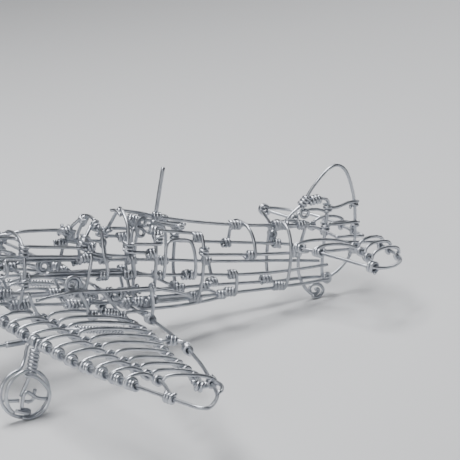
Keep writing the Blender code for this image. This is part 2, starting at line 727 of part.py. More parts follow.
def tailplane_half():
    """The pieces of one half of the tailplane, on the starboard side."""
    edge = [Vector((aft, out, TAILPLANE_HEIGHT)) for aft, out in TAILPLANE_EDGE]
    hinge = [Vector((aft, out, TAILPLANE_HEIGHT)) for aft, out in TAILPLANE_HINGE]
    lap = Vector((0, 0, LAP))
    shapes = [wire(edge, closed=True), wire([hinge[0] - lap, hinge[1] - lap, edge[4] - lap])]
    for out in TAILPLANE_RIBS:
        middle = Vector((edge_crossing(TAILPLANE_HINGE, out), out, TAILPLANE_HEIGHT + LAP))
        rear = Vector((edge_crossing(TAILPLANE_EDGE[4:], out), out, TAILPLANE_HEIGHT + LAP))
        route = arch_between(middle, rear, TAILPLANE_ARCH, 3)
        if out > TAILPLANE_EDGE[0][1]:
            front = Vector((edge_crossing(TAILPLANE_EDGE[:2], out), out, TAILPLANE_HEIGHT + LAP))
            route = arch_between(front, middle, TAILPLANE_ARCH, 3) + route[1:]
        shapes.append(wire(route))
        shapes.append(knot(rear, (-0.15, 1, 0), turns=2))
    held, way = point_between(line_route(UPPER_LINE, 1), TAILPLANE_TIE)
    root = edge[0].lerp(edge[-1], (TAILPLANE_TIE - edge[0].x) / (edge[-1].x - edge[0].x))
    shapes.append(wire([held.lerp(root, 0.4), root]))
    shapes.append(wrap(held, way))
    return shapes


def fin_edge_at(height):
    """Distance aft of the rudder's edge at a height."""
    rear = [(aft, up) for aft, up in FIN_EDGE if aft > HINGE_POST[0][0] + RUDDER_CLEAR]
    return edge_crossing(rear, height)


def add_tail(stand):
    """Tailplane, fin, rudder and tail wheel."""
    half = tailplane_half()
    other = [mirrored(shape) for shape in half]
    build_piece("tailplane_starboard", half, stand)
    build_piece("tailplane_port", other, stand)
    edge = [Vector((aft, 0, height)) for aft, height in FIN_EDGE]
    post = [Vector((aft, 0, height)) for aft, height in HINGE_POST]
    spine = Vector((FIN_TIE, 0, smooth_value(SPINE_LINE, FIN_TIE)))
    shapes = [wire(edge), wire(post), knot(edge[1], edge[2] - edge[1]), wrap(spine, (1, 0, 0))]
    shapes.append(wrap((STERN[0], 0, STERN[1]), (0, 1, 0)))
    for height in RUDDER_RIBS:
        front = Vector((edge_crossing(HINGE_POST, height), 0, height))
        rear = Vector((fin_edge_at(height), 0, height))
        shapes.append(wire([front, rear], sides=4))
        shapes.append(knot(rear, (0, 0, 1), turns=2))
    build_piece("fin_and_rudder", shapes, stand)
    add_tail_wheel(stand)


def add_tail_wheel(stand):
    """The fin post, hooked over the spine, down to the tail wheel's spiral."""
    spiral = []
    for step in range(SPIRAL_STEPS + 1):
        turned = SPIRAL_TURNS * step / SPIRAL_STEPS
        angle = math.radians(SPIRAL_START) + math.tau * turned
        radius = TAIL_RADIUS * (1 - 0.6 * max(0.0, turned - 0.85) / (SPIRAL_TURNS - 0.85))
        ring = Vector((radius * math.cos(angle), 0, radius * math.sin(angle)))
        spiral.append(ring + Vector((TAIL_AXLE[0], 0, TAIL_AXLE[1])))
    spine = smooth_value(SPINE_LINE, FIN_POST[0][0])
    route = [Vector((aft, 0.0, height)) for aft, height in FIN_POST]
    shapes = [flatten_foot(wire(route + spiral), TAIL_AXLE, TAIL_RADIUS, 0.0)]
    shapes.append(wrap((FIN_POST[0][0], 0, spine), (1, 0, 0)))
    build_piece("tail_wheel", shapes, stand)


def leg_route(side):
    """The leg: hooked over the leading edge, down through its coil to the axle."""
    hooked = rib_stations()[LEG_RIB] + LEG_OUTBOARD
    edge_height = wing_level(hooked)
    edge_aft = leading_edge(hooked)
    reach = WIRE + GAP + CHORD_ALLOWANCE
    hook = []
    for step in range(6):
        angle = math.radians(-20) + math.radians(200) * step / 5
        over = Vector((reach * math.cos(angle), 0, reach * math.sin(angle)))
        hook.append(over + Vector((edge_aft, side * hooked, edge_height)))
    knee = Vector((MAIN_AXLE[0] + LEG_LEAN, side * TRACK_HALF, LEG_COIL[0] + WIRE))
    return hook + [knee, Vector((MAIN_AXLE[0], side * TRACK_HALF, MAIN_AXLE[1]))]


def add_gear(stand):
    """Legs with their coils, and the wheels on their axles."""
    for name, side in sides():
        out = side * TRACK_HALF
        hub = Vector((MAIN_AXLE[0], out, MAIN_AXLE[1]))
        route = leg_route(side)
        route[-1].z += WIRE + GAP - 0.3
        coil_turns = (LEG_COIL[0] - LEG_COIL[1]) / WIRE
        coil = knot((MAIN_AXLE[0], out, sum(LEG_COIL) / 2), (0, 0, 1), turns=coil_turns)
        leg = [wire(route), coil, wrap(hub, (0, 1, 0), turns=1.4)]
        build_piece("gear_leg_" + name, leg, stand)
        build_piece("wheel_" + name, wheel(hub), stand)


def wheel(hub):
    """Two rings of wire with spokes, either side of the leg, on one axle."""
    offset = WHEEL_OFFSET
    shapes = [wire([hub + Vector((0, -offset, 0)), hub + Vector((0, offset, 0))])]
    down = -ground_up()
    start = math.atan2(down.z, down.x)
    for side in (-1, 1):
        centre = hub + Vector((0, side * offset, 0))
        ring = []
        for step in range(WHEEL_POINTS):
            angle = start + math.tau * step / WHEEL_POINTS
            ring.append(centre + MAIN_RADIUS * Vector((math.cos(angle), 0, math.sin(angle))))
        shapes.append(flatten_foot(wire(ring, closed=True), MAIN_AXLE, MAIN_RADIUS, centre.y))
        spoke = 3 + 2 * (side + 1) // 2
        shapes.append(wire([ring[spoke], ring[(spoke + WHEEL_POINTS // 2) % WHEEL_POINTS]]))
    return shapes


def set_on_ground(stand):
    """Turn the model onto its wheels and centre it over the origin."""
    stand.rotation_euler = (0.0, stand_angle(), 0.0)
    bpy.context.view_layer.update()
    corners = []
    for item in bpy.data.objects:
        if item.type == "MESH":
            corners.extend(item.matrix_world @ vertex.co for vertex in item.data.vertices)
    low = [min(corner[axis] for corner in corners) for axis in range(3)]
    high = [max(corner[axis] for corner in corners) for axis in range(3)]
    stand.location = (-(low[0] + high[0]) / 2, -(low[1] + high[1]) / 2, -low[2])


def main():
    """Clear the scene, make every piece and set the model on its wheels."""
    for item in list(bpy.data.objects):
        bpy.data.objects.remove(item)
    stand = bpy.data.objects.new("stand", None)
    bpy.context.collection.objects.link(stand)
    add_longerons(stand)
    add_formers(stand)
    add_engine(stand)
    add_propeller(stand)
    add_cockpit(stand)
    add_wing(stand)
    add_fillets(stand)
    add_scoop(stand)
    add_tail(stand)
    add_gear(stand)
    set_on_ground(stand)


main()
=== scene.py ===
# %% [markdown]
# # An aeroplane bent from aluminium wire
# The real object is one open-work model. Every line of it is a length of soft, round aluminium
# wire, and where two lengths meet, one of them is wound two to four times round the other and
# snipped off. There is no solder, no glue and no sheet metal. So this lesson has three parts:
# a way to set out routes in space, a way to wind turns round another wire, and one good
# material for drawn wire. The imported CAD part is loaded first, because it fixes the size and
# the place of every piece.

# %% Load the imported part
import math

import bmesh
import bpy
import numpy as np
from mathutils import Matrix, Vector


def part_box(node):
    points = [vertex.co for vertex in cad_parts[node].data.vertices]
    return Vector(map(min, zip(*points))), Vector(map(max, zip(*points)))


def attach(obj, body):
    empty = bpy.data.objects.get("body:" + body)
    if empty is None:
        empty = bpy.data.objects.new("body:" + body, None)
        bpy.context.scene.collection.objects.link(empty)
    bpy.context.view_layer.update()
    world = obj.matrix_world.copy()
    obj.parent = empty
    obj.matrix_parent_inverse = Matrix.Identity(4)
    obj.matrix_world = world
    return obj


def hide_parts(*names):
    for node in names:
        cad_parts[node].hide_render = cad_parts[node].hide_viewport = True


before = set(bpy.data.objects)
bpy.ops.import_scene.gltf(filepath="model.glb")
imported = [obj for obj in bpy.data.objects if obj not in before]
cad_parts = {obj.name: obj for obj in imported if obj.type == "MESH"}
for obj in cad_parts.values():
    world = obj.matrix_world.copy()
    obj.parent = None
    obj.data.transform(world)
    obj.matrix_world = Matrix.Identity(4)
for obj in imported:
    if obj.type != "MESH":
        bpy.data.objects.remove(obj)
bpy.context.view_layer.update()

# %% [markdown]
# ## Sizes of the real thing
# The model is laid out in level flight, in millimetres: X runs aft from the spinner's tip, Y to
# starboard and Z up from the thrust line. That is how the maker bent it, and it keeps every
# height easy to read. Only at the very end is each piece turned nose-up onto the three wheels.

# %% The wire and how it stands
MM = 0.001
WIRE = 1.65
MAST_WIRE = 1.95
TURN_PITCH = 1.02 * WIRE
STEPS_PER_TURN = 14
ROUTE_PACE = 1.8

MAIN_AXLE = (55.8, -42.4)
TAIL_AXLE = (229.5, -17.6)
MAIN_RADIUS = 10.6
TAIL_RADIUS = 3.6
FLAT_DEPTH = 0.35

rise = math.atan2(TAIL_AXLE[1] - MAIN_AXLE[1], TAIL_AXLE[0] - MAIN_AXLE[0])
run = math.hypot(TAIL_AXLE[0] - MAIN_AXLE[0], TAIL_AXLE[1] - MAIN_AXLE[1])
nose_up = rise + math.asin((MAIN_RADIUS - TAIL_RADIUS) / run)
turn = Matrix.Rotation(nose_up, 4, "Y")
hub = turn @ Vector((MAIN_AXLE[0], 0.0, MAIN_AXLE[1]))
wheel_low, wheel_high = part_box("wheel_port")
hub_aft = (wheel_low[0] + wheel_high[0]) / 2 / MM
hub_up = MAIN_RADIUS + WIRE / 2 - FLAT_DEPTH
stand = Matrix.Translation(((hub_aft - hub.x) * MM, 0.0, (hub_up - hub.z) * MM)) @ turn @ Matrix.Scale(MM, 4)
print("nose-up angle: %.2f degrees" % math.degrees(nose_up))

# %% [markdown]
# ## Drawn aluminium wire
# The metal is plain aluminium that was pulled through a die, so it is bright but not polished:
# fine lines run along its length, and handling has left soft, slightly duller patches and a few
# tiny nicks. A metal keeps the default IOR, and its colour is the colour of the reflection. The
# die lines are far too fine to show, so they are drawn about four to a wire. They follow the
# wire, which is why they read its own UV map: U goes round the wire and V along it.

# %% The material
PATCH_SIZE = 9.0
NICK_SIZE = 1.6
NICK_DEPTH = 0.06


def linear(hex_value):
    """An sRGB hex colour as linear RGBA."""
    channels = [int(hex_value[place:place + 2], 16) / 255 for place in (1, 3, 5)]
    light = [value / 12.92 if value <= 0.04045 else ((value + 0.055) / 1.055) ** 2.4 for value in channels]
    return light + [1.0]


def add_node(tree, kind, settings=None, **inputs):
    """Adds a shader node, sets its properties and values, and links what is given as a socket."""
    node = tree.nodes.new(kind)
    for key, value in (settings or {}).items():
        setattr(node, key, value)
    for key, value in inputs.items():
        by_number = key[0] == "i" and key[1:].isdigit()
        socket = node.inputs[int(key[1:]) if by_number else key.replace("_", " ")]
        if isinstance(value, bpy.types.NodeSocket):
            tree.links.new(value, socket)
        else:
            socket.default_value = value
    return node


def ramp(tree, factor, low, high):
    """A colour ramp between two colours, over the middle of the noise's range."""
    node = add_node(tree, "ShaderNodeValToRGB", Fac=factor)
    node.color_ramp.elements[0].position = 0.34
    node.color_ramp.elements[0].color = low
    node.color_ramp.elements[1].position = 0.66
    node.color_ramp.elements[1].color = high
    return node


def drawn_aluminium(name, bright, handled, smooth, dull):
    """Drawn aluminium wire: die lines along it, and duller patches where it was handled."""
    material = bpy.data.materials.new(name)
    material.use_nodes = True
    tree = material.node_tree
    shader = tree.nodes["Principled BSDF"]
    shader.inputs["Metallic"].default_value = 1.0
    coordinates = add_node(tree, "ShaderNodeTexCoord")
    patch_scale = 1 / (PATCH_SIZE * MM)
    patches = add_node(tree, "ShaderNodeTexNoise", Vector=coordinates.outputs["Object"], Scale=patch_scale,
                       Detail=3.0, Roughness=0.6)
    colour = ramp(tree, patches.outputs["Fac"], linear(handled), linear(bright))
    tree.links.new(colour.outputs["Color"], shader.inputs["Base Color"])
    lengthwise = add_node(tree, "ShaderNodeMapping", Vector=coordinates.outputs["UV"], Scale=(4.0, 2.0, 1.0))
    lines = add_node(tree, "ShaderNodeTexNoise", Vector=lengthwise.outputs["Vector"], Scale=6.0, Detail=4.0)
    roughness = add_node(tree, "ShaderNodeMapRange", Value=lines.outputs["Fac"], From_Min=0.3, From_Max=0.7,
                         To_Min=smooth, To_Max=dull)
    tree.links.new(roughness.outputs["Result"], shader.inputs["Roughness"])
    nick_scale = 1 / (NICK_SIZE * MM)
    nicks = add_node(tree, "ShaderNodeTexNoise", Vector=coordinates.outputs["Object"], Scale=nick_scale,
                     Detail=2.0)
    relief = add_node(tree, "ShaderNodeMath", {"operation": "ADD"}, i0=nicks.outputs["Fac"],
                      i1=lines.outputs["Fac"])
    bump = add_node(tree, "ShaderNodeBump", Strength=0.25, Distance=NICK_DEPTH * MM,
                    Height=relief.outputs["Value"])
    tree.links.new(bump.outputs["Normal"], shader.inputs["Normal"])
    return material


bright_wire = drawn_aluminium("bright drawn aluminium wire", "#CDD0D6", "#AFB3BA", 0.30, 0.42)
handled_wire = drawn_aluminium("handled drawn aluminium wire", "#BEC1C7", "#9EA2A9", 0.34, 0.48)
print("materials:", bright_wire.name, "and", handled_wire.name)

# %% [markdown]
# ## Routes for the wire
# A wire bender sets a few bends by hand and the wire flows between them. The same is done here:
# a route is a few points, and a smooth curve is led through them. Its slopes are weighed by the
# lengths on both sides, so that a short stretch next to a long one doesn't overshoot.

# %% Flowing routes
def flowing(points, closed=False, pace=ROUTE_PACE):
    """A smooth route through given points."""
    nodes = [Vector(point) for point in points]
    if closed:
        ends = [nodes[-1]] + nodes + nodes[:2]
    else:
        ends = [2 * nodes[0] - nodes[1]] + nodes + [2 * nodes[-1] - nodes[-2]]
    route = []
    for before, start, end, after in zip(ends, ends[1:], ends[2:], ends[3:]):
        span = (end - start).length
        slope_in = (end - before) * span / (span + (start - before).length)
        slope_out = (after - start) * span / (span + (after - end).length)
        steps = max(2, round(span / pace))
        for step in range(steps):
            share = step / steps
            square, cube = share ** 2, share ** 3
            route.append((2 * cube - 3 * square + 1) * start + (cube - 2 * square + share) * slope_in
                         + (3 * square - 2 * cube) * end + (cube - square) * slope_out)
    if not closed:
        route.append(nodes[-1])
    return route


def on_side(points, side):
    """Points given as aft, out and up, on the port (-1) or the starboard (1) side."""
    return [Vector((point[0], side * point[1], point[2])) for point in points]


# %% [markdown]
# ## Turns wound round another wire
# This is the joint of the whole model. The wire that ends arrives at the side of the other one,
# runs round it a few times, each turn lying against the last, and is cut off, which leaves a
# small tail that stands off a little. A helix of one wire's pitch does it, and because it starts
# where the arriving wire touches, route and turns make one unbroken piece of wire.

# %% Windings
def winding(place, axis, start, turns, shift=1, reach=WIRE, tail=True):
    """Turns round a wire through a place: it starts on one side, and minus turns run backwards."""
    axis = Vector(axis).normalized()
    start = Vector(start)
    start = (start - axis * start.dot(axis)).normalized()
    across = axis.cross(start)
    steps = max(4, round(abs(turns) * STEPS_PER_TURN))
    route = []
    for step in range(steps + 1):
        share = step / steps
        angle = math.tau * turns * share
        slide = axis * shift * TURN_PITCH * abs(turns) * share
        route.append(Vector(place) + reach * (start * math.cos(angle) + across * math.sin(angle)) + slide)
    if tail:
        # the snipped end stands off a little
        way = (route[-1] - route[-2]).normalized()
        outward = (route[-1] - Vector(place) - slide).normalized()
        route.append(route[-1] + way * 0.6 + outward * 0.12)
        route.append(route[-1] + way * 0.5 + outward * 0.22)
    return route


def coil(start, end, turns, radius, facing=(0, 0, 1)):
    """A spring of wire from one point to another."""
    start, end = Vector(start), Vector(end)
    axis = (end - start).normalized()
    side_a = Vector(facing)
    side_a = (side_a - axis * side_a.dot(axis)).normalized()
    side_b = axis.cross(side_a)
    steps = round(turns * STEPS_PER_TURN)
    route = []
    for step in range(steps + 1):
        angle = math.tau * turns * step / steps
        spoke = side_a * math.cos(angle) + side_b * math.sin(angle)
        route.append(start.lerp(end, step / steps) + radius * spoke)
    return route


# %% [markdown]
# ## From a route to round wire
# Blender turns a route into wire by giving the curve a round bevel and filled caps, which is what
# a die does to metal: the same round section all the way. The result is made a mesh, stood on
# its wheels, and its object stays at the origin, so that the pattern in Object coordinates
# doesn't slide. Each piece of wire takes the place of the CAD bars that stood for it.

# %% Making a piece
triangle_total = 0


def bend_piece(name, routes, nodes, diameter=WIRE, material=None):
    """One visible piece of round wire along its routes, in place of some CAD nodes."""
    global triangle_total
    curve = bpy.data.curves.new(name, "CURVE")
    curve.dimensions = "3D"
    curve.bevel_depth = diameter / 2
    curve.bevel_resolution = 3
    curve.use_fill_caps = True
    for route in routes:
        closed = isinstance(route, tuple)
        points = route[0] if closed else route
        spline = curve.splines.new("POLY")
        spline.points.add(len(points) - 1)
        for knot, point in zip(spline.points, points):
            knot.co = (*point, 1.0)
        spline.use_cyclic_u = closed
    holder = bpy.data.objects.new(name + "_route", curve)
    mesh = bpy.data.meshes.new_from_object(holder)
    bpy.data.objects.remove(holder)
    bpy.data.curves.remove(curve)
    shape = bmesh.new()
    shape.from_mesh(mesh)
    bmesh.ops.remove_doubles(shape, verts=shape.verts, dist=0.0001)
    bmesh.ops.transform(shape, matrix=stand, verts=shape.verts)
    bmesh.ops.recalc_face_normals(shape, faces=shape.faces)
    for face in shape.faces:
        face.smooth = len(face.verts) <= 4
    triangle_total += len(shape.calc_loop_triangles())
    shape.to_mesh(mesh)
    shape.free()
    mesh.name = name
    item = bpy.data.objects.new(name, mesh)
    bpy.context.collection.objects.link(item)
    mesh.materials.clear()
    mesh.materials.append(material or bright_wire)
    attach(item, "root")
    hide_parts(*nodes)
    return item


SIDES = (("port", -1), ("starboard", 1))

# %% [markdown]
# ## The body's lines
# The body is a cage: long wires run fore and aft, hoops go round them. Its cross-section is a
# tall, soft-cornered oval. The table gives its half width, top and bottom at some distances aft,
# and any wire that lies on the skin asks it where the skin is.

# %% The cage's shape
BODY_LINES = (
    (18.0, 9.0, 9.5, -10.0), (46.0, 12.5, 13.0, -15.0), (72.0, 13.6, 14.4, -17.6),
    (98.0, 14.0, 15.2, -18.6), (122.0, 14.0, 24.6, -18.8), (143.0, 14.0, 21.8, -18.4),
    (162.0, 13.4, 18.7, -17.6), (182.0, 12.4, 17.0, -16.2), (206.0, 9.8, 16.4, -14.6),
    (236.0, 3.2, 15.0, -11.6),
)
BODY_SQUARENESS = 2.5
UPPER_LINE = ((20.0, 3.4), (58.0, 7.6), (93.0, 7.2), (120.0, 6.0), (156.0, 6.4), (184.0, 5.4), (219.0, 4.5))
MIDDLE_LINE = ((20.0, -3.0), (58.0, -1.4), (130.0, -2.2), (157.0, -3.1), (175.0, -4.0), (233.0, -3.4))
LOWER_LINE = ((20.0, -8.0), (58.0, -14.4), (98.0, -15.8), (140.0, -16.2), (172.0, -14.8), (210.0, -13.2))
RAIL_LINE = ((20.0, 7.4), (58.0, 11.6), (97.0, 12.4), (139.0, 12.4))
DECK_LINE = ((134.5, 16.4), (165.0, 14.6))
SPINE_LINE = ((118.0, 25.6), (129.0, 24.0), (139.0, 22.0), (162.0, 18.7), (182.0, 17.0), (222.4, 16.0))
STERN = (236.0, -11.6)
LONG_WIRE_PACE = 6.0


def smooth_value(rows, distance, column=1):
    """One column of a table at a distance aft, on a smooth curve through its rows."""
    table = np.array(rows)
    places, values = table[:, 0], table[:, column]
    slopes = np.gradient(values, places)
    index = int(np.clip(np.searchsorted(places, distance) - 1, 0, len(places) - 2))
    step = places[index + 1] - places[index]
    share = min(max((distance - places[index]) / step, 0.0), 1.0)
    ease = share * share * (3 - 2 * share)
    bend = share * (1 - share) * ((1 - share) * slopes[index] - share * slopes[index + 1])
    return float(values[index] + (values[index + 1] - values[index]) * ease + bend * step)


def body_shape(distance):
    """Half width, middle height and half height of the body at a distance aft."""
    half, top, bottom = (smooth_value(BODY_LINES, distance, column) for column in (1, 2, 3))
    return half, (top + bottom) / 2, (top - bottom) / 2


def on_body(distance, height, side, out=0.0):
    """The point on the body's side at a distance aft and a height, moved out by some wire."""
    half, middle, tall = body_shape(distance)
    share = min(abs((height - middle) / tall), 0.999)
    width = half * (1 - share ** BODY_SQUARENESS) ** (1 / BODY_SQUARENESS)
    return Vector((distance, side * (width + out), height))


def along_body(rows, side, start=None, end=None):
    """A long wire's route on the skin between two distances aft."""
    first = rows[0][0] if start is None else start
    last = rows[-1][0] if end is None else end
    count = max(2, round((last - first) / LONG_WIRE_PACE))
    places = np.linspace(first, last, count + 1)
    return [on_body(place, smooth_value(rows, place), side) for place in places]


def hoop_point(distance, angle, out):
    """A point round the body at an angle from starboard, lifted off its surface."""
    half, middle, tall = body_shape(distance)
    power = 2 / BODY_SQUARENESS
    across, up = math.cos(angle), math.sin(angle)
    width = math.copysign(abs(across) ** power, across) * (half + out)
    height = math.copysign(abs(up) ** power, up) * (tall + out)
    return Vector((distance, width, middle + height))


def hoop_angle(distance, height, out):
    """The angle, on the starboard side, at which a hoop has a height."""
    half, middle, tall = body_shape(distance)
    share = max(-1.0, min(1.0, (height - middle) / (tall + out)))
    return math.asin(math.copysign(abs(share) ** (BODY_SQUARENESS / 2), share))


# %% [markdown]
# ## Hoops that start and end on a long wire
# A former on the real model isn't a closed ring. It is a bow that is wound on one long wire,
# passes outside the next ones and is wound on another. The spine is the top one, then come the
# upper, the middle and the lower wires. A bow is drawn by following the body's oval just outside
# the skin, with a winding at both ends that rolls on in the direction in which the bow arrives.

# %% Bows
HOOP_STEP = 10.0
HEART_HEIGHT = 2.0


def bow(distance, upper, lower, side, turns_up=3, turns_down=3, lean=0.0, shift=-1):
    """A bow of wire on one side, from an upper long wire down to a lower one."""
    out = WIRE
    on_spine = upper is SPINE_LINE
    high = math.pi / 2 if on_spine else hoop_angle(distance, smooth_value(upper, distance), out)
    low = hoop_angle(distance, smooth_value(lower, distance), out)
    count = max(3, round(math.degrees(high - low) / HOOP_STEP))
    path = []
    for step in range(count + 1):
        angle = high + (low - high) * step / count
        point = hoop_point(distance + lean * step / count, angle, out)
        path.append(Vector((point.x, side * point.y, point.z)))
    along = Vector((1, 0, 0))
    heart = Vector((distance, 0, HEART_HEIGHT))
    first_way = (path[1] - path[0]).normalized()
    last_way = (path[-1] - path[-2]).normalized()
    first_out = first_way.cross(along) * (1 if side > 0 else -1)
    last_out = last_way.cross(along) * (1 if side > 0 else -1)
    first_out = first_out if first_out.dot(path[0] - heart) > 0 else -first_out
    last_out = last_out if last_out.dot(path[-1] - heart) > 0 else -last_out
    sign = 1 if along.cross(last_out).dot(last_way) > 0 else -1
    ends = winding(path[-1] - last_out * WIRE, along, last_out, sign * turns_down, shift)
    sign = 1 if along.cross(first_out).dot(-first_way) > 0 else -1
    begins = winding(path[0] - first_out * WIRE, along, first_out, sign * turns_up, shift)
    return begins[::-1] + flowing(path)[1:-1] + ends


# %% [markdown]
# ## The long wires
# Seven wires carry the cage. The spine is highest, then there are an upper, a middle and a lower
# wire on each side; the lower pair is one length, bent round the stern. The upper wires stop
# short, the port one at the windshield and the other at the front post, and start again behind
# the doors, where they are wound on a hoop.

# %% Long wires
NOSE_HOOPS = (22.0, 46.0)
FRONT_POST = 67.0
UPPER_FRONT_END = 98.0
UPPER_AFT_START = 157.0
DOOR_FRONT = 136.9
DOOR_REAR = 153.5
COCKPIT_HIGH = [(99.4, 13.1, 9.6), (103.9, 13.9, 8.4), (107.0, 14.0, 8.0), (119.8, 14.2, 6.9)]
COCKPIT_LOW = [(96.5, 12.6, 9.0), (100.2, 13.6, 7.8), (107.8, 15.3, 6.2), (108.6, 15.6, 5.8)]
MIDDLE_NOSE_END = 55.6
NOSE_UPTURN = [(58.4, 13.6, -0.6), (59.2, 14.0, 1.9), (59.0, 13.6, 4.8), (58.0, 12.9, 7.0)]
DOUBLE_LIFT = Vector((0, 0, 1.55))


def hooked_end(route, around, turns, axis, shift=1):
    """Adds turns round another wire to the end of a route."""
    start = route[-1] - Vector(around)
    axis = Vector(axis)
    way = route[-1] - route[-2]
    sign = 1 if axis.cross(start).dot(way) > 0 else -1
    return route + winding(around, axis, start, sign * turns, shift)[1:]


for name, side in SIDES:
    # upper wire: the front length, a short double length by the cockpit, and the aft length
    front = flowing(along_body(UPPER_LINE, side, end=UPPER_FRONT_END if side < 0 else FRONT_POST))
    short = flowing(on_side(COCKPIT_HIGH, side))
    short_low = flowing(on_side(COCKPIT_LOW, side))
    aft = flowing(along_body(UPPER_LINE, side, start=UPPER_AFT_START + WIRE))
    post = on_body(UPPER_AFT_START, 6.4, side, WIRE)
    aft_start = winding(post, (0, 0, 1), aft[0] - post, 2.25 * side, 1)
    bend_piece("upper_wire_" + name, [front, short, short_low, aft_start[::-1] + aft],
               ["upper_longeron_" + name])
    # middle wire: it hooks round the front post, runs aft and is doubled past the cockpit
    middle = flowing(along_body(MIDDLE_LINE, side, start=FRONT_POST))
    nose = flowing(along_body(MIDDLE_LINE, side, end=MIDDLE_NOSE_END) + on_side(NOSE_UPTURN, side))
    below = along_body(MIDDLE_LINE, side, start=78.0, end=124.0)
    double = flowing([point + DOUBLE_LIFT for point in below])
    post = on_body(FRONT_POST, -1.3, side, WIRE)
    hook = winding(post, (0, 0, 1), middle[0] - post, 2.5 * side, -1)
    bend_piece("middle_wire_" + name, [hook[::-1] + middle, nose, double], ["middle_longeron_" + name])

port = along_body(LOWER_LINE, -1)
starboard = along_body(LOWER_LINE, 1)
bend = [Vector((222.0, side * 4.4, -12.2)) for side in (-1, 1)]
before = [Vector((232.5, side * 3.0, -11.4)) for side in (-1, 1)]
tip = [Vector((STERN[0], side * 1.9, STERN[1])) for side in (-1, 1)]
stern_loop = winding((STERN[0] - 1.2, -2.6, -9.9), (0, 1, 0), (-0.4, 0, -1), 1.1, 1, tail=False)
lower = flowing(port + [bend[0], before[0], tip[0], tip[1], before[1], bend[1]] + starboard[::-1])
bend_piece("lower_wire", [lower, stern_loop], ["lower_longeron"])

spine = [Vector((place, 0.0, smooth_value(SPINE_LINE, place))) for place in np.linspace(118.0, 222.4, 18)]
bend_piece("spine_wire_round", [flowing(spine)], ["spine_wire"])
print("long wires done,", triangle_total, "triangles")

# %% [markdown]
# ## The formers
# There are nine stations. Each of the two on the nose is a bow over the top and one under the
# belly, both wound on the middle wires. The front post is a bow over the top, down to the lower
# wires. Behind it the bows follow the photograph. At the cockpit they are short and end on the
# middle wires or just below them. By the doors they run from the deck rail to the lower wire.
# The third to the sixth station have a bow under the belly too. On the tail one runs from the
# spine to the upper wire, with another from the middle wire to the lower one, and the last runs
# from the spine to the lower wire.

# %% Formers
TOP_STEPS = 12
BELLY_STEPS = 16
BELOW_MIDDLE = ((0.0, -8.4), (200.0, -8.4))


def cross_bow(distance, line, turns, over=False):
    """A bow under the belly or over the top, from a long wire to its twin on the other side."""
    low = hoop_angle(distance, smooth_value(line, distance), WIRE)
    count = TOP_STEPS if over else BELLY_STEPS
    sweep = math.pi - 2 * low if over else -math.pi - 2 * low
    path = [hoop_point(distance, low + sweep * step / count, WIRE) for step in range(count + 1)]
    along = Vector((1, 0, 0))
    last_way = (path[-1] - path[-2]).normalized()
    last_out = Vector((0, -1, 0))
    sign = 1 if along.cross(last_out).dot(last_way) > 0 else -1
    ends = winding(path[-1] - last_out * WIRE, along, last_out, sign * turns, 1 if over else -1)
    return on_side(ends, -1)[::-1] + flowing(path)[1:-1] + ends


def former(number, bows):
    """One station's bows as a piece."""
    bend_piece("hoop_%d" % number, bows, ["former_%d" % number], material=handled_wire)


for number, distance in enumerate(NOSE_HOOPS, start=1):
    former(number, [cross_bow(distance, MIDDLE_LINE, 2, over=True), cross_bow(distance, MIDDLE_LINE, 3)])

# the front post: an upright on each side, knotted under the rail, with a belly bow below it
posts = [cross_bow(FRONT_POST, LOWER_LINE, 3, over=True)]
for name, side in SIDES:
    top_knot = on_body(FRONT_POST, 9.6, side, WIRE)
    posts.append(winding(top_knot + Vector((0, 0, -1.2)), (0, 0, 1), (1, 0, 0), 2.6 * side, 1))
former(3, posts + [cross_bow(FRONT_POST, LOWER_LINE, 2)])

# the bow by the windshield's foot, the one by the hood, and the two by the doors
bows = [bow(99.6, UPPER_LINE, BELOW_MIDDLE, side, 3, 2, lean=-2.4) for _, side in SIDES]
former(4, bows + [cross_bow(97.2, LOWER_LINE, 2)])
bows = [bow(120.0, UPPER_LINE, MIDDLE_LINE, side, 1.2, 3, lean=2.0) for _, side in SIDES]
former(5, bows + [cross_bow(123.0, LOWER_LINE, 2)])
bows = [bow(131.2, DECK_LINE, LOWER_LINE, side, 2.4, 2.2, lean=2.4, shift=1) for _, side in SIDES]
former(6, bows + [cross_bow(135.4, LOWER_LINE, 2)])
former(7, [bow(156.8, DECK_LINE, LOWER_LINE, side, 2.2, 2.2, lean=1.4) for _, side in SIDES])

# the tail's bows: at the spine the port one is wound on, and the other is only hooked over
bows = []
for name, side in SIDES:
    bows.append(bow(183.6, SPINE_LINE, UPPER_LINE, side, 3 if side < 0 else 0.6, 2.4, lean=2.4))
    bows.append(bow(176.4, MIDDLE_LINE, LOWER_LINE, side, 2.2, 3.2, lean=2.6))
former(8, bows)
former(9, [bow(206.0, SPINE_LINE, LOWER_LINE, side, 2.6 if side < 0 else 0.6, 3.2, lean=1.6)
           for _, side in SIDES])
print("formers done,", triangle_total, "triangles")

# %% [markdown]
# ## The nose
# The rail runs along the top edge of the cowl. On the port side it comes back low, from a loop
# at the front post; on the starboard side it is carried higher. The engine is a crank wire with
# bent cylinders in two banks, and the propeller is three loops of wire on a wound hub.

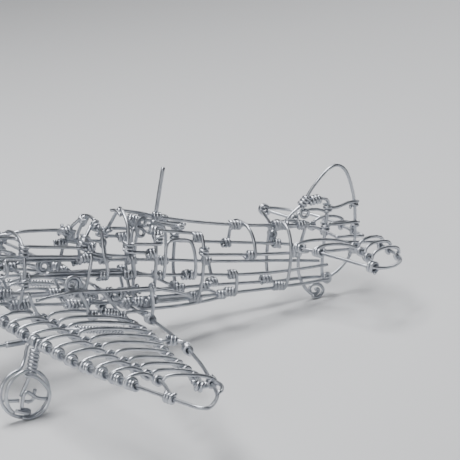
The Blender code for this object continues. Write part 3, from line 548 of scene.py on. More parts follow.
# %% Cowl and cockpit rails
rails = {
    "port": [(20.0, 6.6, 7.4), (40.0, 7.6, 10.8), (54.0, 4.6, 14.4), (60.0, 4.0, 14.9), (66.0, 4.4, 14.4),
             (67.4, 6.8, 13.4), (66.6, 9.4, 12.3), (69.0, 10.4, 12.2), (80.0, 11.2, 11.8), (94.2, 11.9, 11.2),
             (97.0, 12.6, 10.4)],
    "starboard": [(20.0, 6.6, 7.4), (40.0, 8.4, 10.6), (60.0, 8.6, 12.2), (66.3, 7.6, 13.2),
                  (70.5, 5.0, 14.9), (80.0, 5.0, 15.4), (92.6, 5.4, 15.2), (96.0, 8.2, 13.6)],
}
for name, side in SIDES:
    rail = flowing(on_side(rails[name], side))
    knot_a = winding(Vector((95.4, side * 10.6, 11.6)), (0.55, side * 0.2, 0.8), (0, side, 0), 2.2, 1)
    knot_b = winding(Vector((97.6, side * 11.4, 11.2)), (0.9, side * 0.3, 0.1), (0, side, 0.2), 2.6, 1,
                     reach=1.5)
    post = Vector((117.6, side * 14.0, 12.9))
    sill = flowing(on_side([(119.0, 15.4, 13.1), (126.0, 15.4, 12.9), (132.0, 15.2, 12.7)], side))
    sill = hooked_end(sill, Vector((133.2, side * 13.7, 12.6)), 2.4, (0, 0, 1))
    start = winding(post, (0, 0, 1), sill[0] - post, 1.3 * side, -1)
    low = flowing(on_side([(119.0, 15.5, 9.3), (124.0, 15.6, 9.1), (127.2, 15.5, 8.9)], side))
    low_end = winding((127.0, side * 15.6, 8.3), (1, 0, 0.1), (0, side, 0.3), 2.6, 1, reach=1.7)
    low_start = winding(Vector((117.8, side * 14.4, 9.4)), (0, 0, 1), (1, side, 0), 2.2 * side, 1)
    pieces = [rail, knot_a, knot_b, start[::-1] + sill, low_start[::-1] + low, low_end]
    bend_piece("cowl_rail_" + name, pieces, ["cockpit_rail_" + name])
    deck_high = flowing(on_side([(132.6, 6.9, 21.4), (140.0, 7.4, 19.9), (146.0, 7.6, 19.0)], side))
    deck_high = hooked_end(deck_high, deck_high[-1] + Vector((0.4, side * 1.0, -1.1)), 1.4, (0.2, 0.3, 1))
    deck_low = flowing(on_side([(130.6, 10.4, 18.8), (136.0, 10.6, 18.0), (147.0, 10.2, 16.8),
                                (157.6, 9.6, 15.8)], side))
    deck_knot = winding((133.4, side * 11.0, 17.8), (0.96, 0, -0.24), (0, side, 0.5), 2.4, -1)
    bend_piece("deck_rail_round_" + name, [deck_high, deck_low, deck_knot], ["deck_rail_" + name])

# %% Engine
CRANK_FRONT = 9.0
ENGINE_FRONT = 27.0
ENGINE_REAR = 66.0
BANK_ANGLE = math.radians(35)
BANK_STAGGER = 1.2
CYLINDERS_PER_BANK = 3
CYLINDER_PITCH = 9.75
CYLINDER_HEIGHT = 8.0
CYLINDER_HALF = Vector((2.4, 0, 0))
engine = [[Vector((CRANK_FRONT, 0, 0)), Vector((ENGINE_REAR, 0, 0))]]
for place in (ENGINE_FRONT, ENGINE_REAR):
    reach = on_body(place, smooth_value(MIDDLE_LINE, place), 1)
    arm = flowing([Vector((place, -reach.y, reach.z + WIRE)), Vector((place, 0, 0)),
                   Vector((place, reach.y, reach.z + WIRE))])
    for side in (-1, 1):
        around = (place, side * reach.y, reach.z)
        engine.append(winding(around, (1, 0, 0), (0, 0, 1), -2.5 * side, 1))
    engine.append(arm)
    engine.append(winding((place - 3.0, 0, 0), (1, 0, 0), (0, 0, 1), 4, 1))
for side in (-1, 1):
    lean = Vector((0, side * math.sin(BANK_ANGLE), math.cos(BANK_ANGLE)))
    for index in range(CYLINDERS_PER_BANK):
        foot = Vector((ENGINE_FRONT + CYLINDER_PITCH * (index + 1) + side * BANK_STAGGER, 0, 0))
        half = CYLINDER_HALF
        head = lean * CYLINDER_HEIGHT
        engine.append(flowing([foot - half, foot - half + head * 0.9, foot - half * 0.6 + head,
                               foot + half * 0.6 + head, foot + half + head * 0.9, foot + half]))
        engine.append(coil(foot + lean * 2.2, foot + lean * 8.2, 4, 1.7 + WIRE / 2, facing=(1, 0, 0)))
bend_piece("engine_wire", engine, ["engine"], material=handled_wire)

# %% Propeller and spinner
SPINNER_BASE = 16.0
SPINNER_RADIUS = 8.6
SPINNER_TURNS = 3.5
BLADES = 3
BLADE_LENGTH = 46.0
BLADE_WIDTH = 8.0
BLADE_PITCH = math.radians(28)
HUB_RADIUS = 2.6
propeller = [winding((SPINNER_BASE - 2.2, 0, 0), (1, 0, 0), (0, 0, 1), 3.5, 1, reach=HUB_RADIUS - 0.3)]
for index in range(BLADES):
    swing = Matrix.Rotation(math.pi + math.tau * index / BLADES, 3, "X")
    pitch = Matrix.Rotation(BLADE_PITCH, 3, "Z")
    shares = ((9.0, 0.22), (17.0, 0.42), (30.0, 0.5), (41.0, 0.42), (BLADE_LENGTH - 1.2, 0.2))
    front = [Vector((0, share * BLADE_WIDTH, reach)) for reach, share in shares]
    back = [Vector((0, -share * BLADE_WIDTH, reach)) for reach, share in shares]
    loop = ([Vector((0, 0.8, 2.4))] + front + [Vector((0, 0, BLADE_LENGTH))] + back[::-1]
            + [Vector((0, -0.8, 2.4))])
    propeller.append(flowing([swing @ (pitch @ point) + Vector((SPINNER_BASE, 0, 0)) for point in loop]))
    root = swing @ Vector((0, 0, 5.0)) + Vector((SPINNER_BASE, 0, 0))
    propeller.append(winding(root, swing @ Vector((0, 0, 1)), (1, 0, 0), 2.6, 1, reach=1.7))
spinner = []
spiral_steps = round(SPINNER_TURNS * 20)
for step in range(spiral_steps + 1):
    share = step / spiral_steps
    radius = SPINNER_RADIUS * (1 - share ** 1.6) + 0.2
    angle = math.tau * SPINNER_TURNS * share
    place = SPINNER_BASE - 1.0 - (SPINNER_BASE - 1.0 - WIRE / 2) * share
    spinner.append(Vector((place, radius * math.cos(angle), radius * math.sin(angle))))
propeller.append(flowing([Vector((SPINNER_BASE - 0.6, 1.4, -1.8)), Vector((SPINNER_BASE - 0.7, 4.6, -4.0))])
                 + spinner)
bend_piece("propeller_wire", propeller, ["propeller"])
print("nose done,", triangle_total, "triangles")

# %% [markdown]
# ## The cockpit
# The windshield is two bent wires like an upside-down V, one on each side, tied together over the
# top. The hood hoop is one bow. Behind it sit the seat with its curled headrest and the aerial
# mast, which is a slightly thicker wire. Each door is an arch that stands on the middle wire.

# %% Windshield, hood and mast
APEX = (104.0, 5.0, 21.6)
shield = []
for name, side in SIDES:
    pillar = on_side([(97.4, 9.6, 13.2), (101.0, 7.0, 18.6), APEX, (105.2, 6.6, 21.0), (105.6, 11.6, 15.4),
                      (105.4, 14.2, 10.4), (106.2, 15.4, 6.6), (107.6, 15.6, 2.0), (108.0, 15.5, -2.2)], side)
    path = flowing(pillar)
    middle_at = on_body(108.0, smooth_value(MIDDLE_LINE, 108.0), side)
    shield.append(hooked_end(path, middle_at, 2.2, (1, 0, 0), -1))
    shield.append(winding((97.0, side * 10.2, 12.4), (0.5, -side * 0.5, 0.7), (0, side, 0), 2.6, 1))
    tie = Vector((APEX[0] - 0.2, side * (APEX[1] + 0.4), APEX[2] - 0.4))
    shield.append(winding(tie, (0.1, side * 0.5, -0.5), (1, 0, 0), 2.2, 1))
shield.append(flowing([(104.4, -5.2, 22.0), (104.4, 0, 22.6), (104.4, 5.2, 22.0)]))
bend_piece("windshield_wire", shield, ["windshield_frame"])

hood_path = on_side([(117.5, -14.3, 8.4), (117.5, -14.2, 13.4), (118.0, -12.8, 17.4), (118.4, -10.4, 21.0),
                     (118.6, -6.0, 24.4), (119.4, 0.0, 26.2), (121.4, 6.0, 24.4), (122.2, 10.4, 21.0),
                     (121.9, 13.2, 16.8), (120.8, 14.4, 13.0), (120.8, 14.8, 8.4)], 1)
hood = [flowing(hood_path)]
for side, aft in ((-1, 117.6), (1, 120.8)):
    hood.append(winding((aft, side * 14.3, 11.2), (0, 0, 1), (1, side, 0), 1.4 * side, 1))
hood.append(flowing([(117.2, -5.0, 24.2), (117.0, 0, 25.2), (117.2, 5.0, 24.2)]))
bend_piece("hood_bow", hood, ["hood_hoop"])

MAST = 137.8
foot = Vector((MAST, 0, smooth_value(SPINE_LINE, MAST)))
lift = Vector((1.7, 0, 23.2))
bend_piece("mast_wire", [flowing([foot + lift * 0.06, foot + lift * 0.5, foot + lift])], ["aerial_mast"],
           diameter=MAST_WIRE)
mast_base = [winding(foot + Vector((-1.4, 0, 0.2)), (1, 0, -0.17), (0, 0, 1), 2.2, 1, reach=1.5, tail=False)]
bend_piece("mast_knot", mast_base, ["aerial_mast"])

# %% Seat and doors
belly = hoop_point(135.4, -math.pi / 2, WIRE)
seat_line = [belly + Vector((-0.4, 0, 1.2)), (130.6, 0, belly.z + 3.6), (129.0, 0, -6.0), (127.6, 0, 4.0),
             (126.4, 0, 12.0), (126.8, 0.3, 15.4), (128.6, 0.6, 16.8), (131.0, 0.6, 16.6), (132.8, 0.3, 14.8),
             (132.2, 0, 12.9), (130.2, -0.3, 12.8), (128.4, -0.6, 15.0), (127.7, -0.8, 18.0),
             (128.6, -0.8, 20.8), (130.8, -0.6, 21.9), (132.8, -0.3, 20.6), (132.5, 0.3, 18.4),
             (130.8, 0.8, 17.6), (129.6, 0.8, 19.2), (130.5, 0.4, 20.6)]
seat = [flowing(seat_line, pace=1.0), winding(belly, (0, 1, 0), (-1, 0, 0), -2.4, 1)]
seat.append(flowing([(131.6, -5.6, 19.4), (134.2, -4.6, 20.0), (136.2, -6.0, 18.4), (138.0, -9.2, 17.2)]))
bend_piece("seat_wire", seat, ["seat"], material=handled_wire)

for name, side in SIDES:
    shape = []
    low = smooth_value(MIDDLE_LINE, DOOR_FRONT)
    for aft, up in ((DOOR_FRONT, low), (DOOR_FRONT - 0.1, 4.0), (DOOR_FRONT, 10.0), (DOOR_FRONT + 0.8, 12.8),
                    (DOOR_FRONT + 3.2, 14.0), (DOOR_FRONT + 8.4, 14.2), (DOOR_REAR - 4.2, 13.6),
                    (DOOR_REAR - 2.4, 11.6), (DOOR_REAR - 1.2, 7.4), (DOOR_REAR - 0.3, 2.0),
                    (DOOR_REAR, low - 0.6)):
        shape.append(on_body(aft, up, side, WIRE))
    path = flowing(shape)
    front_at = on_body(DOOR_FRONT, low, side)
    rear_at = on_body(DOOR_REAR, smooth_value(MIDDLE_LINE, DOOR_REAR), side)
    path = hooked_end(path, rear_at, 1.6, (1, 0, 0), -1)
    path = hooked_end(path[::-1], front_at, 2.6, (1, 0, 0), -1)
    extra = winding(rear_at + Vector((-6.0, 0, 0)), (1, 0, 0), (0, side, 0), 1.6, 1)
    bend_piece("door_wire_" + name, [path, extra], ["door_arch_" + name])
print("cockpit done,", triangle_total, "triangles")

# %% [markdown]
# ## The wing
# The wing is the showpiece. One wire makes its outline. Each rib is a single length: wound on the
# leading edge into a small ball, arched up and over to the main spar, turned round that once
# and a half, and then carried in a long low arch to the rear spar, where it ends in a turn or two.
# The ribs lean up steeply out of each winding, as a bent wire does, so an ellipse suits the arch.

# %% Wing sizes
WING_HEIGHT = -24.5
WING_RISE = 0.0634
HALF_SPAN = 164.0
RIB_PLACES = (12.6, 23.1, 32.8, 44.2, 55.4, 67.2, 79.4, 91.6, 102.2, 112.4, 121.9)
FRONT_ARCH = 3.4
REAR_ARCH = 4.3
REAR_ARCH_LOSS = 0.014
BALL_TURNS = 3.4
BALL_CROSSING = 4.3
SPAR_TURNS = 1.5
SPAR_END = 136.0
REAR_SPAR_LINE = ((0.0, 120.0), (32.0, 119.3), (55.0, 115.8), (80.0, 108.6), (103.0, 105.0), (113.0, 103.2))


def wing_level(out):
    """Height of the wing's edge wires at a distance from the middle plane."""
    return WING_HEIGHT + WING_RISE * out


def leading_edge(out):
    """Distance aft of the leading edge."""
    late = max(2 * out / HALF_SPAN - 1, 0.0)
    return 59.0 + 0.044 * out + 14.3 * late ** 1.35


def trailing_edge(out):
    """Distance aft of the trailing edge."""
    return 134.2 - 0.079 * out - 34.1 * (out / HALF_SPAN) ** 2


def edge_point(out, rule):
    """A point of one of the wing's edges, starboard side; the front one bows up a little inboard."""
    lift = 2.2 * max(0.0, 1 - out / 56.0) if rule is leading_edge else 0.0
    return Vector((rule(out), out, wing_level(out) + lift))


def main_spar(out):
    """The main spar's point on the starboard side."""
    return Vector((78.4 + 0.025 * out, out, wing_level(out) + 3.0 * (1 - 0.7 * out / SPAR_END)))


def rear_spar(out):
    """The rear spar's point on the starboard side."""
    return Vector((smooth_value(REAR_SPAR_LINE, out), out, wing_level(out) - min(1.0, out / 60.0)))


def ellipse_arch(start, end, bulge, flat=2.0, count=9):
    """A bowed length between two points that leaves and arrives steeply."""
    route = []
    for step in range(count + 1):
        share = (1 - math.cos(math.pi * step / count)) / 2
        lift = bulge * max(0.0, 1 - abs(2 * share - 1) ** flat) ** (1 / flat)
        route.append(Vector(start).lerp(Vector(end), share) + Vector((0, 0, lift)))
    return route


def rib(out):
    """One rib with its windings, on the starboard side."""
    inner = out - BALL_TURNS * TURN_PITCH / 2
    nose, spar, rear = edge_point(inner, leading_edge), main_spar(out - 1.2), rear_spar(out)
    edge_way = (edge_point(out + 3, leading_edge) - nose).normalized()
    fore = Vector((-1, 0, 0))
    begins = winding(nose, edge_way, fore, -BALL_TURNS, 1)
    # one more turn crosses the ball from its far end
    cross_at = nose + edge_way * BALL_CROSSING + Vector((0, 0, 0.5))
    across = winding(cross_at, edge_way, (0, 0, -1), -1.2, -2.2, reach=1.35 * WIRE)
    front = ellipse_arch(nose + fore * WIRE, spar + fore * WIRE, FRONT_ARCH)
    spar_way = Vector((0.025, 1, WING_RISE - 0.015))
    under = winding(spar, spar_way, fore, -SPAR_TURNS, 1, tail=False)
    slid = spar_way.normalized() * TURN_PITCH * SPAR_TURNS
    rear_way = (rear_spar(out + 2) - rear_spar(out)).normalized()
    rear_from = rear - fore * WIRE - rear_way * 1.4
    back = ellipse_arch(spar + slid - fore * WIRE, rear_from + Vector((0.3, 0, -0.6)),
                        REAR_ARCH - REAR_ARCH_LOSS * out, flat=2.5)
    ends = winding(rear - rear_way * 1.4, rear_way, -fore, -1.6, 1, tail=False)
    return begins[::-1] + flowing(front)[1:-1] + under + flowing(back)[1:-1] + ends, across


# %% Wing pieces
def at_level(rows):
    """Points given as aft, out and the height over the wing's edge wires."""
    return [Vector((aft, out, wing_level(out) + up)) for aft, out, up in rows]


half_front = [edge_point(out, leading_edge) for out in (0, 14, 35, 56, 82, 100, 118, 134, 146)]
half_tip = at_level([(77.8, 154.5, 0), (79.4, 160.0, 0), (82.4, 162.2, 0), (87.6, 157.6, 0),
                     (96.0, 145.6, 0)])
half_back = [edge_point(out, trailing_edge) for out in (130, 112, 90, 60, 25, 0)]
half = half_front + half_tip + half_back
outline = flowing(half[:-1] + on_side(half[::-1], -1)[:-1], closed=True)
main_line = [main_spar(out) for out in (0, 40, 80, 115, 126)]
main_line += at_level([(79.6, 134.5, 0.2), (76.4, 142.6, 0.9)])
main_full = flowing(on_side(main_line[::-1], -1) + main_line[1:])
rear_line = [rear_spar(out) for out in (0, 30, 55, 85, 105, 113)]
rear_line += at_level([(100.4, 122.4, 0.5), (94.8, 130.0, 1.2)])
rear_full = flowing(on_side(rear_line[::-1], -1) + rear_line[1:])
clipped = at_level([(94.8, 130.0, 1.2), (92.2, 133.4, 1.4), (93.4, 137.8, 1.6), (96.6, 136.4, 1.8),
                    (95.0, 133.2, 2.4), (90.8, 133.2, 2.6)])

wing_routes = [(outline,), main_full, rear_full]
for name, side in SIDES:
    ribs = []
    for place in RIB_PLACES[:-1]:
        along, across = rib(place)
        ribs += [on_side(along, side), on_side(across, side)]
    # the last rib ends on the trailing edge, with a free end that hooks back
    trail = edge_point(129.0, trailing_edge)
    trail_way = edge_point(132.0, trailing_edge) - trail
    along, across = rib(RIB_PLACES[-1])
    first_part = [point for point in along if point.x < main_spar(RIB_PLACES[-1]).x + 2.0]
    last_part = ellipse_arch(first_part[-1], trail + Vector((1.2, 0.4, 0.9)), 2.6, flat=2.3)
    hooked = winding(trail, trail_way, (0.8, 0.4, 0.6), -3.1, -1)
    ribs.append(on_side(first_part + flowing(last_part)[1:-1] + hooked, side))
    ribs.append(on_side(across, side))
    ribs.append(on_side(flowing(at_level([(102.6, 130.6, 1.6), (102.2, 135.0, 1.9), (101.2, 139.6, 2.0),
                                          (98.4, 144.6, 1.7), (95.6, 147.0, 1.4)])), side))
    spar_tip = edge_point(141.8, leading_edge)
    ribs.append(on_side(winding(spar_tip, (0.24, 1, WING_RISE), (0, 0, 1), 3.0, 1), side))
    ribs.append(on_side(flowing(clipped), side))
    ribs.append(on_side(winding(clipped[2], (-0.8, -0.5, 0.1), (0, 0, 1), 1.6, 1, tail=False), side))
    # the short link between the fifth rib and the trailing edge
    link = at_level([(113.6, 55.4, 1.2), (115.4, 59.6, 1.5), (119.6, 59.8, 1.4), (124.2, 64.0, 1.3),
                     (123.4, 68.4, 1.5)])
    ribs.append(on_side(flowing(link), side))
    ribs.append(on_side(winding(link[2] + Vector((-1.6, 0, 0)), (1, 0.15, 0), (0, 0, 1), 2.4, 1), side))
    ribs.append(on_side(winding(edge_point(68.4, trailing_edge), (-0.35, 1, 0.06), (0, 0, 1), 3.4, 1), side))
    # the root link to the trailing edge
    root = [(119.3, 12.0, -20.4), (125.6, 12.2, -19.9), (131.6, 12.0, -20.8), (133.6, 11.8, -22.2)]
    ribs.append(on_side(flowing(root), side))
    ribs.append(on_side(winding(edge_point(10.2, trailing_edge), (-0.1, 1, 0.06), (0, 0, 1), 3.4, 1), side))
    bend_piece("wing_ribs_" + name, ribs, ["wing_frame"])
bend_piece("wing_outline_and_spars", wing_routes, ["wing_frame"], material=handled_wire)

# %% Guns and feeds
GUN_OUT = 41.2
FEED_OUT = 39.4
FEED_WIRE = 1.1
for name, side in SIDES:
    nose = edge_point(GUN_OUT, leading_edge) + Vector((0, 0, -0.5))
    slope = Vector((1, 0, 0.11)).normalized()
    muzzle = nose - slope * (nose.x - 34.0)
    back = nose + slope * (80.6 - nose.x)
    barrel = on_side([muzzle, nose, back], side)
    bend_piece("gun_barrel_" + name, [flowing(barrel)], ["gun_" + name])
    sleeve = [nose - slope * (nose.x - aft) for aft in (49.0, 50.4, 54.0, 57.6)]
    bend_piece("gun_sleeve_" + name, [flowing(on_side(sleeve, side))], ["gun_" + name], diameter=1.75 * WIRE)
    start = main_spar(FEED_OUT) + Vector((-2.0, 0, WIRE))
    end = rear_spar(FEED_OUT) + Vector((2.0, 0, WIRE))
    slope = (end - start).normalized()
    coil_start = start + slope * (83.0 - start.x)
    coil_end = start + slope * (106.0 - start.x)
    feed = [on_side([start, end], side), on_side(coil(coil_start, coil_end, 15, 1.35), side)]
    bend_piece("feed_coil_" + name, feed, ["ammunition_feed_" + name], diameter=FEED_WIRE)
print("wing done,", triangle_total, "triangles")

# %% [markdown]
# ## Fillets and the belly scoop
# Where the wing meets the body a wire sweeps along the side and curls round the lower wire at
# its back end. Four struts tie it down to the wing: their feet are hooked over the root rib and
# the spars, and the second one starts in a flat spiral. The scoop is one bent wire underneath.

# %% Fillets
fillet_line = [(73.3, 15.7, -11.6), (78.0, 16.2, -10.4), (91.6, 16.9, -8.0), (104.1, 16.9, -8.0),
               (118.0, 16.9, -7.8), (130.0, 16.5, -7.8), (143.3, 15.8, -10.2), (150.0, 14.4, -12.4),
               (154.4, 11.8, -14.4)]
struts = (
    [(69.4, 15.4, -7.6), (71.6, 15.8, -13.0), (75.4, 15.2, -19.0)],
    [(92.6, 15.4, -4.8), (95.0, 15.8, -9.4), (98.6, 15.8, -15.0), (99.8, 16.0, -18.2)],
    [(101.4, 15.4, -5.4), (106.0, 15.8, -9.4), (112.4, 15.8, -15.6), (114.6, 16.0, -19.2)],
    [(129.6, 16.6, -6.6), (130.4, 17.0, -9.4), (132.2, 16.4, -16.0), (132.6, 15.6, -21.6)],
)
for name, side in SIDES:
    routes = []
    line = flowing(on_side(fillet_line, side))
    lower_at = on_body(155.6, smooth_value(LOWER_LINE, 155.6), side)
    routes.append(hooked_end(line, lower_at, 3.2, (1, 0, 0), 1))
    for index, strut in enumerate(struts):
        path = flowing(on_side(strut, side))
        if index == 1:
            curl = []
            for step in range(41):
                angle = math.tau * 1.9 * step / 40
                radius = 1.2 + 2.9 * step / 40
                curl.append(Vector((90.2 - radius * math.sin(angle - 0.5), side * (15.4 + 0.9 * step / 40),
                                    -4.6 - radius * math.cos(angle - 0.5))))
            routes.append(curl)
        routes.append(path)
        foot = path[-1]
        routes.append(winding(foot + Vector((0, 0, -WIRE * 0.8)), (1, 0, 0) if index in (1, 2) else (0, 1, 0),
                              (0, 0, 1), 2.4 * side, 1))
        if index == 3:
            head = path[0] + Vector((0, -side * 0.4, -1.0))
            routes.append(winding(head, (1, 0, 0), (0, side, 0.5), 1.4, 1))
    routes.append(on_side(coil((106.4, 16.4, -18.4), (114.0, 16.4, -19.2), 5, WIRE), side))
    lower_front = on_body(90.6, smooth_value(LOWER_LINE, 90.6), side)
    routes.append(winding(lower_front, (1, 0, 0), (0, side, 0), 2.6, 1))
    lower_back = on_body(98.8, smooth_value(LOWER_LINE, 98.8), side)
    routes.append(winding(lower_back, (1, 0, 0), (0, side, 0), 2.8, 1))
    bend_piece("fillet_wire_" + name, routes, ["wing_fillet_" + name])

# %% Belly scoop
scoop = [(127.0, 8.5, -18.0), (130.0, 8.9, -19.6), (146.0, 8.5, -19.6), (163.0, 7.0, -18.3),
         (172.5, 6.4, -16.5)]
scoop_route = on_side(scoop, -1) + on_side(scoop[::-1], 1)
scoop_pieces = [flowing(scoop_route)]
for side in (-1, 1):
    for place in (126.0, 170.4):
        at = on_body(place, smooth_value(LOWER_LINE, place), side)
        scoop_pieces.append(winding(at, (1, 0, 0), (0, 0, -1), 2.6 * side, 1))
    scoop_pieces.append(flowing(on_side([(131.0, 10.0, -15.6), (140.0, 10.0, -16.4), (152.0, 9.4, -16.0),
                                         (160.0, 8.6, -14.6)], side)))
bend_piece("scoop_wire", scoop_pieces, ["belly_scoop"])
print("fillets done,", triangle_total, "triangles")

# %% [markdown]
# ## The tail
# The tailplane repeats the wing's idea at a smaller scale: edge wires with short arched ribs.
# The fin is one long wire from the spine up over the top and down to the stern, and the
# rudder's ribs are wound on it. The fin post runs down through the body and ends in a small
# curl with a bow round it, which is the tail wheel.

# %% Tailplane
TAILPLANE_HEIGHT = 7.9
TAIL_EDGE = ((208.0, 10.6), (212.6, 14.6), (216.2, 22.4), (221.4, 36.0), (226.0, 48.6), (229.0, 51.8),
             (233.5, 52.6), (239.0, 50.6), (243.0, 48.0), (249.6, 41.6), (253.6, 34.4), (256.0, 24.0),
             (257.6, 12.0), (258.4, 5.2))
TAIL_HINGE = ((242.6, 3.6), (240.4, 17.5), (237.0, 30.6), (233.6, 39.6), (229.0, 48.6))
TAIL_RIBS = (12.4, 21.4, 32.6)
STARBOARD_LIFT = 0.075


def crossing(edge, out):
    """Distance aft at which an edge of the tailplane lies at a distance out."""
    for (aft_a, out_a), (aft_b, out_b) in zip(edge, edge[1:]):
        if min(out_a, out_b) <= out <= max(out_a, out_b) and out_a != out_b:
            return aft_a + (aft_b - aft_a) * (out - out_a) / (out_b - out_a)
    return edge[-1][0]


def tilted(route, side):
    """A tailplane route on its side; the starboard one is bent up a little towards its tip."""
    climb = STARBOARD_LIFT if side > 0 else 0.0
    return [Vector((point[0] - climb * point[1] * 0.5, side * point[1], point[2] + climb * point[1]))
            for point in route]


for name, side in SIDES:
    edge = [Vector((aft, out, TAILPLANE_HEIGHT)) for aft, out in TAIL_EDGE]
    hinge = [Vector((aft, out, TAILPLANE_HEIGHT)) for aft, out in TAIL_HINGE]
    routes = [tilted(flowing(edge), side), tilted(flowing(hinge), side)]
    root = flowing([edge[-1], Vector((250.0, 5.4, TAILPLANE_HEIGHT)), Vector((241.6, 4.2, TAILPLANE_HEIGHT))])
    routes.append(tilted(root, side))
    for out in TAIL_RIBS:
        front = Vector((crossing(TAIL_EDGE[:5], out), out, TAILPLANE_HEIGHT))
        hinge_at = Vector((crossing(TAIL_HINGE, out), out, TAILPLANE_HEIGHT))
        rear = Vector((crossing(TAIL_EDGE[9:], out), out, TAILPLANE_HEIGHT))
        fore = Vector((-1, 0, 0))
        begins = winding(front - Vector((0.6, 1.8, 0)), (0.34, 1, 0), fore, -2.6, 1)
        under = winding(hinge_at, (-0.13, 1, 0), fore, -1.5, 1, tail=False)
        slid = Vector((-0.13, 1, 0)).normalized() * TURN_PITCH * 1.5
        ends = winding(rear, (-0.15, 1, 0), (0.4, 0, 1), -0.6, 0.4, tail=False)
        over = flowing(ellipse_arch(begins[0], hinge_at + fore * WIRE, 3.6, count=7))
        back = flowing(ellipse_arch(hinge_at + slid - fore * WIRE, ends[0], 4.0, flat=2.3, count=7))
        full = begins[::-1] + over[1:-1] + under + back[1:-1] + ends
        if out == TAIL_RIBS[-1]:
            full = under + back[1:-1] + ends
        routes.append(tilted(full, side))
    tip_at = Vector((227.4, 48.2, TAILPLANE_HEIGHT))
    routes.append(tilted(winding(tip_at, (0.4, 1, 0), (1, 0, 0.4), 2.3, 1, reach=1.35 * WIRE), side))
    held = on_body(209.0, smooth_value(UPPER_LINE, 209.0), side)
    root_at = Vector((208.0, side * 10.6, TAILPLANE_HEIGHT))
    routes.append(hooked_end(flowing([root_at, root_at.lerp(held, 0.5) + Vector((0, side * 0.8, 0.2)),
                                      held + Vector((0, side * WIRE, 0))]), held, 2.2, (1, 0, 0), 1))
    bend_piece("tailplane_wire_" + name, routes, ["tailplane_" + name])

# %% Fin, rudder and tail wheel
fin_edge = [(208.8, 0, 18.1), (212.6, 0, 22.4), (217.2, 0, 26.4), (222.4, 0, 34.9), (228.3, 0, 42.2),
            (232.0, 0, 45.0), (235.6, 0, 45.7), (238.9, 0, 44.0), (241.6, 0, 40.8), (244.9, 0, 34.0),
            (247.2, 0, 27.2), (249.0, 0, 16.8), (249.9, 0, 6.0), (247.4, 0, -1.5), (242.3, 0, -7.4),
            (237.6, 0, -10.5)]
hinge_post = [(218.8, -1.2, 28.0), (224.2, -1.2, 29.0), (229.0, -0.8, 29.3), (231.8, -0.3, 27.6),
              (232.2, 0, 24.5), (232.0, 0, 14.7), (232.4, 0, -4.1), (233.2, 0, -10.0)]
fin = [flowing(fin_edge), flowing(hinge_post)]
fin.append(winding((209.6, 0, smooth_value(SPINE_LINE, 209.6)), (1, 0, 0), (0, 0, 1), 2.6, -1))
fin.append(winding((216.4, 0, 25.3), (0.6, 0, 0.75), (0, -1, 0), 3.0, 1))
fin.append(winding((220.6, -1.2, 28.3), (1, 0, 0.18), (0, -1, 0), 3.4, 1))
fin.append(winding((232.1, 0, 22.8), (0, 0, 1), (-1, 0, 0), 1.8, 1))
fin.append(winding((232.0, 0, 13.2), (0, 0, 1), (-1, 0, 0), 1.8, 1))
for up, aft, climb in ((27.4, 247.2, 3.0), (17.0, 249.0, 0.8), (3.4, 249.6, 0.6)):
    path = flowing([(232.0, -1.3, up - climb), (237.0, -1.3, up - climb * 0.8),
                    (aft - 4.0, -1.2, up - climb * 0.1), (aft + 1.2, -1.2, up + 0.3)])
    fin.append(hooked_end(path, Vector((aft, 0, up)), 1.6, (0, 0, 1), -1))
fin.append(winding((219.4, -0.4, 21.6), (0, 1, 0), (0, 0, 1), 1.1, 1, reach=1.9, tail=False))
fin.append(winding((STERN[0], -1.2, STERN[1]), (0, 1, 0), (0, 0, 1), 2.2, 1))
bend_piece("fin_and_rudder_wire", fin, ["fin_and_rudder"])

post = [(219.9, -1.5, 17.2), (219.5, -1.3, 14.4), (219.0, -0.4, 9.0), (218.4, 0, 2.0), (219.2, 0, -7.0),
        (221.6, 0, -12.4), (224.6, 0, -16.4), (227.6, 0, -18.7), (229.4, 0, -19.1), (231.2, 0, -18.9),
        (232.3, 0, -17.4), (231.2, 0, -16.5), (229.9, 0, -17.1)]
round_curl = [(227.6, 0.3, -18.6), (227.3, 0.8, -16.8), (228.2, 1.0, -15.2), (230.4, 0.8, -14.4),
              (233.2, 0.4, -15.0), (234.8, 0, -17.2), (233.6, -0.4, -19.6), (230.8, -0.8, -20.6),
              (228.2, -1.0, -19.9)]
spine_hook = winding((219.8, 0, smooth_value(SPINE_LINE, 219.8)), (1, 0, 0), (0, -1, 0.1), -2.4, -1)
tail_wheel = [spine_hook[::-1] + flowing(post, pace=1.2), flowing(round_curl, pace=1.2)]
bend_piece("tail_wheel_wire", tail_wheel, ["tail_wheel"])
print("tail done,", triangle_total, "triangles")

# %% [markdown]
# ## Legs and wheels
# Each leg is hooked over the leading edge, bound with a tight coil of nearly eight turns and carried
# down to the hub. The far ring is one length with a wire that hangs from the leading edge, and
# leans out to meet the near ring at the ground. The near ring is in two bows, open at the foot.
# The aft spoke bends down at the hub and ends behind a small hooked foot.

